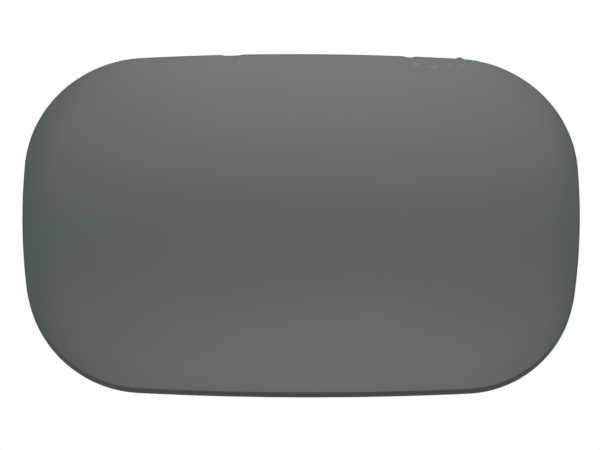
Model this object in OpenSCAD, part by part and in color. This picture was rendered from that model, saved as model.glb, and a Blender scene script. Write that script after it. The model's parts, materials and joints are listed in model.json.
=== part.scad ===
// Pressed steel fuel door for a car's rear quarter, with its hidden spring hinge and lock tongue.
// The door lies in the XZ plane with its outer face towards -Y, and swings about a vertical pin.
// The origin is the middle of the hinge bracket's two bolt holes, on the face that meets the car.

/* [Outer skin] */
// Width of the skin from edge to edge
door_w = 200; // [190:1:212]
// Height of the skin from edge to edge
door_h = 126.3; // [120:0.1:134]
// Radius of the slight bow of the top and bottom edges
long_edge_bow = 1100; // [900:50:1600]
// Radius of the bow of the two side edges
side_edge_bow = 225; // [205:5:280]
// How far the middle of each side's bow lies above the door's middle
side_bow_lift = 5.4; // [2:0.1:8]
// Radius of the top right corner
corner_top_right = 44.5; // [40:0.1:47]
// Radius of the top left corner
corner_top_left = 43.8; // [40:0.1:47]
// Radius of the bottom left corner
corner_bottom_left = 42.8; // [39:0.1:46]
// Radius of the bottom right corner
corner_bottom_right = 40.4; // [38:0.1:45]
// Radius of the crown from top to bottom
crown_tall = 700; // [550:10:1200]
// Radius of the crown from side to side
crown_wide = 3000; // [2200:100:6000]
// Thickness of the outer sheet
skin_t = 0.8; // [0.7:0.05:1]
// Outside radius of the bend round the skin's edge
skin_bend = 1; // [1:0.1:1.6]
// Depth of the turned skirt, from the outer face to its cut edge
skirt_depth = 6; // [5.5:0.5:8]

/* [Inner panel] */
// Thickness of the inner sheet
inner_t = 0.8; // [0.7:0.05:1]
// Space left for paint between the inner panel and the skin
nest_gap = 0.15; // [0.1:0.05:0.3]
// How far the inner panel's flange stops short of the skirt's cut edge
flange_step = 1.2; // [0.8:0.1:2]
// Bend radius between the inner panel's floor and its flange
valley_bend = 2; // [1.6:0.1:2.6]
// Depth of the raised field's rear face behind the middle of the outer face
deck_depth = 9; // [8.6:0.1:9.8]
// Distance from the door's free edge to the foot of the raised field
field_free_margin = 15; // [13:0.5:18]
// Distance from the door's hinge edge to the foot of the raised field
field_hinge_margin = 34; // [33:0.5:37]
// Distance from the top and bottom edges to the foot of the raised field
field_long_margin = 16; // [13:0.5:18]
// Corner radius of the raised field
field_corner = 27; // [22:0.5:29]
// Horizontal run of the field's sloping wall
wall_run = 3.5; // [3:0.1:4.2]
// Bend radius at the top and foot of the sloping wall
field_bend = 2; // [1.6:0.1:2.4]
// Distance of each stiffening bead from the door's middle line
bead_z = 29; // [28:0.5:31]
// Radius of the half round bead
bead_r = 5; // [4.5:0.1:5.5]
// Height of the beads over the field
bead_rise = 1.8; // [1.2:0.1:2.2]
// Space between a bead's ends and the buffer or the field's wall
bead_gap = 5; // [3:0.5:8]
// Diameter of the drain holes
drain_d = 5; // [4:0.5:5.5]

/* [Hinge] */
// Distance of the hinge pin's axis from the door's hinge edge
pin_inset = 16; // [15:0.5:17]
// Depth of the hinge pin's axis behind the middle of the outer face
pin_depth = 12; // [11.6:0.1:12.6]
// Diameter of the hinge pin
pin_d = 6; // [5.6:0.1:6.2]
// How far the door opens, in degrees
opening = 95; // [80:1:98]
// Thickness of the hinge arm
arm_t = 2; // [1.8:0.1:2.4]
// Width of the hinge arm over its two cheeks
arm_w = 40; // [36:1:44]
// Length of the hinge arm from the pin's axis to the end of its foot
arm_l = 62; // [60:1:66]
// Outside radius of the hinge arm's eyes
arm_eye_r = 6; // [5.8:0.1:6.4]
// Height of the cheeks over the web, at their widest
cheek_h = 6.2; // [5.6:0.1:7]
// Thickness of the bracket that stays on the car
bracket_t = 2.5; // [2:0.1:3]
// Outside radius of the bracket's eyes
bracket_eye_r = 6.5; // [6.2:0.1:7]
// Distance from the hinge pin's axis to the face that meets the car
bracket_reach = 16.5; // [16:0.5:19]
// Distance from the hinge pin's axis to the line of the bracket's bolt holes
bolt_setback = 29; // [28:0.5:32]
// Distance between the bracket's two bolt holes
bolt_spacing = 60; // [56:1:66]
// Diameter of the bolt holes
bolt_hole_d = 6.6; // [5.5:0.1:7]
// Outside diameter of the bushes' barrels
bush_d = 8; // [7.8:0.1:8.4]
// Thickness of the bushes' flanges
bush_flange_t = 0.8; // [0.6:0.1:1]
// Wire diameter of the closing spring
wire_d = 1.6; // [1.4:0.1:1.8]
// Mean radius of the spring's coil
coil_r = 5; // [4.9:0.1:5.2]
// Length of the spring's coil between its two end wires
coil_l = 18; // [16:0.5:22]

/* [Lock tongue, buffers and cap rest] */
// Thickness of the lock tongue
tongue_t = 2; // [1.8:0.1:2.4]
// Distance from the door's free edge to the tongue's upright face
tongue_inset = 26; // [25:0.5:28]
// Length of the tongue's foot along the door
tongue_foot = 20; // [19:0.5:22]
// Width of the tongue's foot
tongue_w = 18; // [17:0.5:22]
// Height of the tongue over the raised field
tongue_h = 21; // [20:0.5:26]
// Diameter of the hole for the lock bolt
lock_hole_d = 7.5; // [6:0.1:8]
// Diameter of the rivets' shanks
rivet_d = 4.8; // [4:0.1:5]
// Distance between the rivets across the hinge arm
rivet_pitch = 18; // [16:1:20]
// Distance of the hinge arm's outer rivets from the end of its foot
rivet_edge = 8; // [7:0.5:10]
// Space round the hinge arm's rivets on the doubler plate
doubler_margin = 7.5; // [7:0.5:8]
// Space between the doubler plate and the raised field's wall
doubler_gap = 5; // [4:0.5:7]
// Diameter of a rubber buffer's head
buffer_d = 12; // [10:0.5:13]
// Height of a rubber buffer's head over the raised field
buffer_h = 6; // [5:0.5:8]
// Distance of the buffers from the door's free edge
buffer_inset = 38; // [36:0.5:39]
// Width of the slot that holds the fuel cap's grip
grip_slot_w = 11; // [9:0.5:12]
// Wall thickness of the cap rest
rest_wall = 3; // [2.5:0.1:3.5]
// Height of the cap rest's walls over its base
rest_h = 12; // [10:0.5:14]
// Distance of the cap rest's middle from the door's middle, towards the free edge
rest_offset = 14; // [12:1:18]
// Width and height of the cap rest's base
rest_base = 37; // [34:1:40]

/* [Hidden] */
$fn = 64;

// How finely the arcs of an edge are drawn
CORNER_STEPS = 14;
LONG_STEPS = 10;
SIDE_STEPS = 6;
BEND_STEPS = 3;

// Clearances of the fits
PRESS_FIT = 0.02;
RUNNING_FIT = 0.05;
SLEEVE_FIT = 0.1;
SIDE_PLAY = 0.1;
STOP_GAP = 0.2;
OVERLAP = 0.5;

// Places that follow from the driving sizes
floor_front = skin_t + nest_gap;
deck_front = deck_depth - inner_t;
pin_x = door_w / 2 - pin_inset;
mount_at = [pin_x - bolt_setback, pin_depth + bracket_reach, 0];
cheek_z = arm_w / 2;
bracket_z = cheek_z + bush_flange_t + SIDE_PLAY;
INNER_BEND = 1.5;
WEB_GAP = 3.5;
web_end = arm_eye_r + WEB_GAP;
arm_bend = arm_t + INNER_BEND;
bracket_bend = bracket_t + INNER_BEND;
tongue_bend = tongue_t + INNER_BEND;

// Rivets, buffer necks and rest legs, which the raised field's holes are made for
HEAD_R = 4.2;
HEAD_H = 1.9;
SET_HEAD_R = 3.6;
SET_HEAD_H = 1.3;
buffer_neck_r = 3;
rest_leg_r = 2.4;

// Places on the raised field, as [x, z]
field_end = door_w / 2 - field_hinge_margin - wall_run;
rivet_columns = [pin_x - arm_l + rivet_edge, field_end - doubler_gap - doubler_margin];
arm_rivet_places = [for (x = rivet_columns, s = [-1, 1]) [x, s * rivet_pitch / 2]];
tongue_x = -door_w / 2 + tongue_inset;
TONGUE_RIVET_EDGE = 6;
tongue_rivet_x = tongue_x + tongue_foot - TONGUE_RIVET_EDGE;
tongue_rivet_places = [for (s = [-1, 1]) [tongue_rivet_x, s * (tongue_w / 2 - HEAD_R)]];
buffer_x = -door_w / 2 + buffer_inset;
rest_x = -rest_offset;
rest_leg_places = [for (s = [-1, 1]) [rest_x + s * (rest_base / 2 - 2 * rest_leg_r), 0]];
DRAIN_X = 30;
DRAIN_GAP = 9;
drain_places = [for (x = [-DRAIN_X, DRAIN_X], s = [-1, 1]) [x, s * (bead_z + DRAIN_GAP)]];

// Ends of the two stiffening beads
bead_from = buffer_x + buffer_d / 2 + bead_gap + bead_r;
bead_to = field_end - bead_gap - bead_r;

// Colours as they are seen
primer = [0.40, 0.43, 0.42];
zinc = [0.72, 0.72, 0.68];
spring_steel = [0.30, 0.30, 0.31];
nylon = [0.88, 0.87, 0.82];
rubber = [0.10, 0.10, 0.10];
black_plastic = [0.14, 0.14, 0.15];

// Extrusions along each axis of a drawing made in the other two, in their X, Y, Z order
module along_x(from, to)
    translate([from, 0, 0]) rotate([90, 0, 90]) linear_extrude(to - from) children();
module along_y(from, to)
    translate([0, to, 0]) rotate([90, 0, 0]) linear_extrude(to - from) children();
module along_z(from, to)
    translate([0, 0, from]) linear_extrude(to - from) children();

// A round part about an axis that runs along Y, drawn as radius against depth
module turned_on_y() rotate([-90, 0, 0]) rotate_extrude() children();

// Moves the door's own frame so that the bracket's bolt pattern is at the origin
module on_mount() translate(-mount_at) children();

// The same thing above and below the door's middle
module both_sides() {
    children();
    mirror([0, 0, 1]) children();
}

// A bar with round ends between two points of a drawing, one straight above or beside the other
module slot_shape(a, b, r) {
    span = b - a;
    half = norm(span) / 2;
    translate(a) circle(r);
    translate(b) circle(r);
    translate((a + b) / 2) rotate(atan2(span.y, span.x)) square([2 * half, 2 * r], center = true);
}

// A rectangle from corner to corner, with round corners
module round_rect(low, high, r) {
    for (x = [low.x + r, high.x - r], y = [low.y + r, high.y - r]) translate([x, y]) circle(r);
    translate([low.x + r, low.y]) square([high.x - low.x - 2 * r, high.y - low.y]);
    translate([low.x, low.y + r]) square([high.x - low.x, high.y - low.y - 2 * r]);
}

// A quarter of a bent sheet's corner, with its centre of bend at the origin and both legs leaving it
module bend_shape(outer, t) intersection() {
    difference() {
        circle(outer);
        circle(outer - t);
    }
    square(outer);
}

// Depth that the door's double crown adds at a point of the door
function crown(p) = p.x * p.x / (2 * crown_wide) + p.y * p.y / (2 * crown_tall);

// Direction of a vector, from 0 to 360 degrees
function heading(v) = let (a = atan2(v.y, v.x)) a < 0 ? a + 360 : a;

// The arc of one corner, tangent to the long edge's bow and to the side's bow:
// its centre, radius, and its headings where it meets the side and the long edge
function corner_arc(w, h, quadrant, r) =
    let (
        long_centre = [0, quadrant.y * (h / 2 - long_edge_bow)],
        side_centre = [quadrant.x * (w / 2 - side_edge_bow), side_bow_lift],
        long_reach = long_edge_bow - r,
        side_reach = side_edge_bow - r,
        gap = side_centre - long_centre,
        span = norm(gap),
        along = (long_reach * long_reach - side_reach * side_reach + span * span) / (2 * span),
        across = sqrt(long_reach * long_reach - along * along),
        u = gap / span,
        centre = long_centre + along * u - quadrant.x * quadrant.y * across * [-u.y, u.x]
    )
    [centre, r, heading(centre - side_centre), heading(centre - long_centre)];

// A closed edge of eight tangent arcs, anticlockwise from the right end of the top right corner.
// Each arc is its centre, radius, first heading, last heading and number of steps.
function edge_arcs(w, h, corners, shift) =
    let (
        tr = corner_arc(w, h, [1, 1], corners[0]),
        tl = corner_arc(w, h, [-1, 1], corners[1]),
        bl = corner_arc(w, h, [-1, -1], corners[2]),
        br = corner_arc(w, h, [1, -1], corners[3]),
        top = [0, h / 2 - long_edge_bow],
        left = [side_edge_bow - w / 2, side_bow_lift],
        right = [w / 2 - side_edge_bow, side_bow_lift]
    )
    [
        [tr[0] + shift, tr[1], tr[2], tr[3], CORNER_STEPS],
        [top + shift, long_edge_bow, tr[3], tl[3], LONG_STEPS],
        [tl[0] + shift, tl[1], tl[3], tl[2], CORNER_STEPS],
        [left + shift, side_edge_bow, tl[2], bl[2], SIDE_STEPS],
        [bl[0] + shift, bl[1], bl[2], bl[3], CORNER_STEPS],
        [shift - top, long_edge_bow, bl[3], br[3], LONG_STEPS],
        [br[0] + shift, br[1], br[3], br[2], CORNER_STEPS],
        [right + shift, side_edge_bow, br[2], tr[2] + 360, SIDE_STEPS]
    ];

// Points of a closed edge, moved inwards by inset
function edge_points(arcs, inset) = [
    for (a = arcs, i = [0 : a[4] - 1])
        let (t = a[2] + (a[3] - a[2]) * i / a[4])
        a[0] + (a[1] - inset) * [cos(t), sin(t)]
];

door_edge = edge_arcs(
    door_w, door_h,
    [corner_top_right, corner_top_left, corner_bottom_left, corner_bottom_right], [0, 0]
);
field_w = door_w - field_free_margin - field_hinge_margin;
field_h = door_h - 2 * field_long_margin;
field_edge = edge_arcs(
    field_w, field_h,
    [for (i = [0 : 3]) field_corner], [(field_free_margin - field_hinge_margin) / 2, 0]
);

// A sheet's section is a list of [station, depth, crown share], from the middle outwards.
// Stations under half of FIELD_STATION are measured inwards from the door's edge, and the
// others inwards from the foot of the raised field, which is at FIELD_STATION itself.
FIELD_STATION = 100;
function ring_at(p) =
    let (
        outline = p[0] < FIELD_STATION / 2
            ? edge_points(door_edge, p[0])
            : edge_points(field_edge, p[0] - FIELD_STATION)
    )
    [for (q = outline) [q.x, p[1] + p[2] * crown(q), q.y]];

// Unit vector from one section point to the next, in station and depth
function step_dir(a, b) = let (d = [b[0] - a[0], b[1] - a[1]]) d / norm(d);

// A section with each corner that has a radius turned into an arc
function rounded(path, radii) = [
    for (i = [0 : len(path) - 1])
        if (radii[i] == 0) path[i]
        else
            let (
                v = path[i],
                back = -step_dir(path[i - 1], v),
                ahead = step_dir(v, path[i + 1]),
                half = acos(back * ahead) / 2,
                reach = radii[i] / tan(half),
                mid = (back + ahead) / norm(back + ahead),
                centre = [v[0], v[1]] + mid * radii[i] / sin(half),
                from = [v[0], v[1]] + reach * back - centre,
                to = [v[0], v[1]] + reach * ahead - centre
            )
            for (k = [0 : BEND_STEPS])
                let (
                    f = k / BEND_STEPS,
                    turn = 180 - 2 * half,
                    q = centre + (sin((1 - f) * turn) * from + sin(f * turn) * to) / sin(turn),
                    share_in = path[i - 1][2],
                    share_out = path[i + 1][2]
                )
                [q[0], q[1], v[2] + (f < 0.5 ? share_in - v[2] : share_out - v[2]) * abs(1 - 2 * f)
                    * reach / (reach + norm([for (j = [0, 1]) path[f < 0.5 ? i - 1 : i + 1][j] - v[j]]))]
];

// The other face of a sheet, t behind the first
function offset_path(path, t) = [
    for (i = [0 : len(path) - 1])
        let (
            into = step_dir(path[max(i - 1, 0)], path[max(i, 1)]),
            out = step_dir(path[min(i, len(path) - 2)], path[min(i + 1, len(path) - 1)]),
            n = [into[1] + out[1], -into[0] - out[0]],
            m = 2 * n / (n * n)
        )
        [path[i][0] + t * m[0], path[i][1] + t * m[1], path[i][2]]
];

// Both faces of a sheet, from the middle of the front to its edge and back along the rear
function sheet_section(path, t) =
    let (rear = offset_path(path, t))
    concat(path, [for (i = [len(rear) - 1 : -1 : 0]) rear[i]]);

// A closed solid through rings of points, closed by a point at each end
module ring_solid(first, rings, last) {
    n = len(rings[0]);
    count = len(rings);
    function at(k, i) = 1 + k * n + i % n;
    points = concat([first], [for (ring = rings) each ring], [last]);
    end = len(points) - 1;
    faces = concat(
        [for (i = [0 : n - 1]) [0, at(0, i + 1), at(0, i)]],
        [for (k = [0 : count - 2], i = [0 : n - 1]) [at(k, i), at(k, i + 1), at(k + 1, i + 1)]],
        [for (k = [0 : count - 2], i = [0 : n - 1]) [at(k, i), at(k + 1, i + 1), at(k + 1, i)]],
        [for (i = [0 : n - 1]) [at(count - 1, i), at(count - 1, i + 1), end]]
    );
    polyhedron(points, faces);
}

// Rings of the crowned face inside the first station, drawn in towards the middle
FACE_SHARES = [0.2, 0.4, 0.6, 0.8];
FACE_STATION = 20;
function face_ring(share, depth) = [
    for (q = edge_points(door_edge, FACE_STATION))
        [share * q.x, depth + crown(share * q), share * q.y]
];

// Outer skin: a crowned pressing with its edge turned inwards all round
module outer_skin() {
    path = rounded(
        [[FACE_STATION, 0, 1], [FACE_STATION / 2, 0, 1], [0, 0, 1], [0, skirt_depth, 1]],
        [0, 0, skin_bend, 0]
    );
    rings = concat(
        [for (f = FACE_SHARES) face_ring(f, 0)],
        [for (p = sheet_section(path, skin_t)) ring_at(p)],
        [for (i = [len(FACE_SHARES) - 1 : -1 : 0]) face_ring(FACE_SHARES[i], skin_t)]
    );
    color(primer) ring_solid([0, 0, 0], rings, [0, skin_t, 0]);
}

// Inner panel: a pan nested in the skin, with a raised field that carries the hardware
DECK_STATION = 6;
module inner_pan() {
    path = rounded(
        [
            [FIELD_STATION + wall_run + DECK_STATION, deck_front, 0],
            [FIELD_STATION + wall_run, deck_front, 0],
            [FIELD_STATION, floor_front, 1],
            [floor_front, floor_front, 1],
            [floor_front, skirt_depth - flange_step, 1]
        ],
        [0, field_bend, field_bend, valley_bend, 0]
    );
    middle = (field_free_margin - field_hinge_margin) / 2;
    ring_solid(
        [middle, deck_front, 0],
        [for (p = sheet_section(path, inner_t)) ring_at(p)],
        [middle, deck_depth, 0]
    );
}

// A half round bar with ball ends, as deep as its radius under the bead's crest
module bead_bar(r) translate([0, deck_depth + bead_rise - bead_r, bead_z]) {
    translate([bead_from, 0, 0]) rotate([0, 90, 0]) cylinder(r = r, h = bead_to - bead_from);
    for (x = [bead_from, bead_to]) translate([x, 0, 0]) sphere(r);
}

module inner_panel() {
    color(primer) difference() {
        union() {
            inner_pan();
            both_sides() intersection() {
                bead_bar(bead_r);
                translate([-door_w / 2, deck_front, 0]) cube([door_w, bead_r, door_h / 2]);
            }
        }
        both_sides() bead_bar(bead_r - inner_t);
        for (p = arm_rivet_places) hole_at(p, rivet_d / 2 + RUNNING_FIT);
        for (p = tongue_rivet_places) hole_at(p, rivet_d / 2 + RUNNING_FIT);
        for (p = rest_leg_places) hole_at(p, rest_leg_r + RUNNING_FIT);
        for (s = [-1, 1]) hole_at([buffer_x, s * bead_z], buffer_neck_r + RUNNING_FIT);
        for (p = drain_places) hole_at(p, drain_d / 2);
    }
}

// A hole along Y through the raised field
module hole_at(p, r)
    translate([p.x, deck_front - OVERLAP, p.y]) rotate([-90, 0, 0])
        cylinder(r = r, h = inner_t + 2 * OVERLAP);

// Rivet with a domed head behind the stack and a flat set head in front of it
module rivet(p, front, rear) {
    dome_r = (HEAD_R * HEAD_R + HEAD_H * HEAD_H) / (2 * HEAD_H);
    translate([p.x, 0, p.y]) turned_on_y() {
        translate([0, front - SET_HEAD_H]) square([SET_HEAD_R, SET_HEAD_H]);
        translate([0, front - OVERLAP]) square([rivet_d / 2, rear - front + 2 * OVERLAP]);
        intersection() {
            translate([0, rear + HEAD_H - dome_r]) circle(dome_r);
            translate([0, rear]) square([HEAD_R, HEAD_H]);
        }
    }
}

// Plate in front of the raised field that spreads the hinge arm's load
DOUBLER_T = 1.2;
DOUBLER_CORNER = 5;
module hinge_doubler() {
    color(primer) difference() {
        along_y(deck_front - DOUBLER_T, deck_front) round_rect(
            [rivet_columns[0] - doubler_margin, -rivet_pitch / 2 - doubler_margin],
            [rivet_columns[1] + doubler_margin, rivet_pitch / 2 + doubler_margin],
            DOUBLER_CORNER
        );
        for (p = arm_rivet_places)
            translate([p.x, deck_front - DOUBLER_T - OVERLAP, p.y]) rotate([-90, 0, 0])
                cylinder(r = rivet_d / 2 + RUNNING_FIT, h = DOUBLER_T + 2 * OVERLAP);
    }
}

// Side view of one cheek of the hinge arm, about the pin's axis: the eye, the lever and the stop lug
LUG_ANGLE = -12;
LUG_R = 10;
LUG_HALF = 2;
LUG_ROOT = 1.5;
CHEEK_NOSE = 1.5;
CHEEK_RAMP = 18;
module cheek_shape() {
    foot_y = deck_depth - pin_depth;
    polygon([
        [-arm_l, foot_y + arm_bend - OVERLAP], [-arm_l, foot_y + arm_bend + CHEEK_NOSE],
        [-arm_l + CHEEK_RAMP, foot_y + arm_t + cheek_h], [0, arm_eye_r],
        [0, -arm_eye_r], [-web_end, foot_y], [-web_end, foot_y + arm_bend - OVERLAP]
    ]);
    circle(arm_eye_r);
    rotate(LUG_ANGLE) translate([arm_eye_r - LUG_ROOT, -LUG_HALF])
        square([LUG_R - arm_eye_r + LUG_ROOT, 2 * LUG_HALF]);
}

// Hinge arm: a channel pressing whose foot sits on the raised field and whose cheeks end in eyes
module hinge_arm() {
    color(primer) translate([pin_x, 0, 0]) difference() {
        union() {
            both_sides() {
                translate([0, pin_depth, 0]) along_z(cheek_z - arm_t, cheek_z) cheek_shape();
                translate([0, deck_depth + arm_bend, cheek_z - arm_bend])
                    along_x(-arm_l, -web_end) mirror([1, 0]) bend_shape(arm_bend, arm_t);
            }
            along_y(deck_depth, deck_depth + arm_t)
                translate([-arm_l, arm_bend - cheek_z]) square([arm_l - web_end, arm_w - 2 * arm_bend]);
        }
        translate([0, pin_depth, 0]) cylinder(d = bush_d + 2 * PRESS_FIT, h = arm_w + 2, center = true);
        for (p = arm_rivet_places) translate([p.x - pin_x, deck_depth - OVERLAP, p.y]) rotate([-90, 0, 0])
            cylinder(r = rivet_d / 2 + RUNNING_FIT, h = arm_t + 2 * OVERLAP);
    }
}

module arm_rivets() {
    color(primer) for (p = arm_rivet_places) rivet(p, deck_front - DOUBLER_T, deck_depth + arm_t);
}

// Flanged bush in the eye of one cheek
BUSH_FLANGE_R = 5.9;
module bush() {
    color(nylon) translate([pin_x, pin_depth, 0]) difference() {
        union() {
            along_z(cheek_z - arm_t - 1, cheek_z) circle(d = bush_d);
            along_z(cheek_z, cheek_z + bush_flange_t) circle(BUSH_FLANGE_R);
        }
        cylinder(r = pin_d / 2 + RUNNING_FIT, h = arm_w + 4 * bush_flange_t, center = true);
    }
}
module upper_bush() bush();
module lower_bush() mirror([0, 0, 1]) bush();

// Hinge pin: domed head above, and below a groove for its clip
PIN_HEAD_R = 5;
PIN_HEAD_H = 2.2;
CLIP_T = 0.8;
CLIP_GROOVE_R = 2.4;
bracket_top = bracket_z + bracket_t;
groove_top = -bracket_top - SIDE_PLAY;
PIN_TAIL = 2.6;
pin_end = groove_top - CLIP_T - PIN_TAIL;
module hinge_pin() {
    dome_r = (PIN_HEAD_R * PIN_HEAD_R + PIN_HEAD_H * PIN_HEAD_H) / (2 * PIN_HEAD_H);
    chamfer = 0.8;
    color(zinc) translate([pin_x, pin_depth, 0]) rotate_extrude() {
        polygon([
            [0, pin_end], [pin_d / 2 - chamfer, pin_end], [pin_d / 2, pin_end + chamfer],
            [pin_d / 2, groove_top - CLIP_T - SIDE_PLAY], [CLIP_GROOVE_R, groove_top - CLIP_T - SIDE_PLAY],
            [CLIP_GROOVE_R, groove_top], [pin_d / 2, groove_top],
            [pin_d / 2, bracket_top + OVERLAP], [0, bracket_top + OVERLAP]
        ]);
        intersection() {
            translate([0, bracket_top + PIN_HEAD_H - dome_r]) circle(dome_r);
            translate([0, bracket_top]) square([PIN_HEAD_R, PIN_HEAD_H]);
        }
    }
}

// Retaining clip: an open ring with three inward lugs that seat in the pin's groove
CLIP_R = 5.6;
CLIP_BAND = 1.5;
CLIP_LUG = 2;
CLIP_MOUTH = 3.4;
module pin_clip() {
    clip_top = groove_top - SIDE_PLAY / 2;
    inner_r = CLIP_GROOVE_R + RUNNING_FIT;
    color(spring_steel) translate([pin_x, pin_depth, 0]) along_z(clip_top - CLIP_T, clip_top)
        difference() {
            union() {
                difference() {
                    circle(CLIP_R);
                    circle(CLIP_R - CLIP_BAND);
                }
                for (a = [90, 210, 330]) rotate(a) translate([inner_r, -CLIP_LUG / 2])
                    square([CLIP_R - inner_r - CLIP_BAND / 2, CLIP_LUG]);
            }
            circle(inner_r);
            translate([0, -CLIP_R]) square([CLIP_MOUTH, 2 * CLIP_R], center = true);
        }
}

// Side view of one ear of the bracket, about the pin's axis, down to the start of its bend
EAR_ROOT = 14;
EAR_EDGE = 1;
module ear_shape() {
    root = bracket_reach - bracket_bend;
    polygon([
        [-EAR_EDGE - EAR_ROOT, root + OVERLAP], [-EAR_EDGE, root + OVERLAP], [-EAR_EDGE, root],
        [bracket_eye_r, 0.5], [0, -bracket_eye_r], [-bracket_eye_r, -0.5], [-EAR_EDGE - EAR_ROOT, root]
    ]);
    circle(bracket_eye_r);
}

// Stop that the hinge arm's lug meets when the door is fully open
STOP_ROOT = 1.6;
module stop_shape() rotate(LUG_ANGLE + opening)
    translate([arm_eye_r + STOP_ROOT, LUG_HALF + STOP_GAP]) square([LUG_R - arm_eye_r, bracket_t]);

// Plan of the bracket's base, as seen along Y, about the pin's axis
TAB_R = 11;
LEG_NOTCH = 3;
module base_shape() {
    difference() {
        union() {
            slot_shape([-bolt_setback, -bolt_spacing / 2], [-bolt_setback, bolt_spacing / 2], TAB_R);
            translate([-bolt_setback, bracket_bend - bracket_top])
                square([bolt_setback - EAR_EDGE, 2 * (bracket_top - bracket_bend)]);
        }
        for (s = [-1, 1]) translate([-bolt_setback, s * bolt_spacing / 2]) circle(d = bolt_hole_d);
        translate([-EAR_EDGE - LEG_NOTCH, -coil_l / 2 - 1.5 * wire_d]) square([LEG_NOTCH + 1, 3 * wire_d]);
    }
}

// Bracket that stays on the car: a bolted base with two ears bent forwards to hold the pin
module hinge_bracket() {
    base_front = bracket_reach - bracket_t;
    color(zinc) translate([pin_x, pin_depth, 0]) difference() {
        union() {
            along_y(base_front, bracket_reach) base_shape();
            both_sides() {
                along_z(bracket_z, bracket_top) ear_shape();
                translate([0, bracket_reach - bracket_bend, bracket_top - bracket_bend])
                    along_x(-EAR_EDGE - EAR_ROOT, -EAR_EDGE) bend_shape(bracket_bend, bracket_t);
                along_z(cheek_z - arm_t - 1, bracket_z + OVERLAP) stop_shape();
            }
        }
        cylinder(d = pin_d + 2 * PRESS_FIT, h = 2 * bracket_top + 2, center = true);
    }
}

// Line of the closing spring's wire: up the fixed leg, round the coil and out along the moving leg
LEG_GAP = 2;
moving_tip_x = pin_inset - field_hinge_margin + LEG_GAP;
fixed_tip = [-EAR_EDGE - LEG_NOTCH + wire_d / 2 + RUNNING_FIT, bracket_reach - 1];
moving_tip = [moving_tip_x, deck_depth - pin_depth - wire_d / 2 - RUNNING_FIT];
COIL_STEPS = 14;
COIL_TURNS = 9;
function coil_angle_from(tip) = atan2(tip.y, tip.x) - acos(coil_r / norm(tip));
function coil_angle_to(tip) = heading(tip) + acos(coil_r / norm(tip));
coil_from = coil_angle_from(fixed_tip);
coil_sweep = coil_from + 360 * COIL_TURNS - coil_angle_to(moving_tip);
coil_points = ceil(coil_sweep / 360 * COIL_STEPS);
wire_line = concat(
    [[fixed_tip.x, fixed_tip.y, -coil_l / 2]],
    [
        for (i = [0 : coil_points])
            let (t = coil_from - coil_sweep * i / coil_points)
            [coil_r * cos(t), coil_r * sin(t), coil_l * (i / coil_points - 0.5)]
    ],
    [[moving_tip.x, moving_tip.y, coil_l / 2]]
);

// A round bar along a line that never runs straight up
WIRE_SIDES = 8;
module swept_wire(line, r) {
    function unit(v) = v / norm(v);
    function tangent(i) = unit(line[min(i + 1, len(line) - 1)] - line[max(i - 1, 0)]);
    rings = [
        for (i = [0 : len(line) - 1])
            let (t = tangent(i), a = unit(cross(t, [0, 0, 1])), b = cross(a, t))
            [
                for (k = [0 : WIRE_SIDES - 1])
                    let (turn = -360 * k / WIRE_SIDES)
                    line[i] + r * (cos(turn) * a + sin(turn) * b)
            ]
    ];
    ring_solid(line[0], rings, line[len(line) - 1]);
}

module closing_spring() {
    color(spring_steel) translate([pin_x, pin_depth, 0]) swept_wire(wire_line, wire_d / 2);
}

// Thin sleeve that keeps the spring's coil off the pin
SLEEVE_WALL = 0.8;
module spring_sleeve() {
    sleeve_end = cheek_z - arm_t - 1 - SIDE_PLAY;
    color(nylon) translate([pin_x, pin_depth, 0]) along_z(-sleeve_end, sleeve_end) difference() {
        circle(pin_d / 2 + SLEEVE_FIT + SLEEVE_WALL);
        circle(pin_d / 2 + SLEEVE_FIT);
    }
}

// Side view of the tongue's upright as depth and height, from its bend to its round tip
TIP_TAPER = 2;
module tongue_shape() {
    half = tongue_w / 2;
    tip_r = half - TIP_TAPER;
    shoulder = tongue_bend + TIP_TAPER;
    difference() {
        union() {
            polygon([
                [tongue_bend - OVERLAP, -half], [shoulder, -half], [tongue_h - tip_r, -tip_r],
                [tongue_h - tip_r, tip_r], [shoulder, half], [tongue_bend - OVERLAP, half]
            ]);
            translate([tongue_h - tip_r, 0]) circle(tip_r);
        }
        translate([tongue_h - tip_r, 0]) circle(d = lock_hole_d);
    }
}

// Lock tongue: an angle pressing whose hole takes the bolt of the car's locking motor
TONGUE_CORNER = 4;
module lock_tongue() {
    color(zinc) translate([tongue_x, deck_depth, 0]) difference() {
        union() {
            along_x(0, tongue_t) tongue_shape();
            translate([tongue_bend, tongue_bend, 0]) along_z(-tongue_w / 2, tongue_w / 2)
                rotate(180) bend_shape(tongue_bend, tongue_t);
            along_y(0, tongue_t) translate([tongue_bend, -tongue_w / 2]) {
                square([tongue_foot - tongue_bend - TONGUE_CORNER, tongue_w]);
                round_rect([0, 0], [tongue_foot - tongue_bend, tongue_w], TONGUE_CORNER);
            }
        }
        for (p = tongue_rivet_places) translate([p.x - tongue_x, -OVERLAP, p.y]) rotate([-90, 0, 0])
            cylinder(r = rivet_d / 2 + RUNNING_FIT, h = tongue_t + 2 * OVERLAP);
    }
}

module tongue_rivets() {
    color(zinc) for (p = tongue_rivet_places) rivet(p, deck_front, deck_depth + tongue_t);
}

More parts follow.
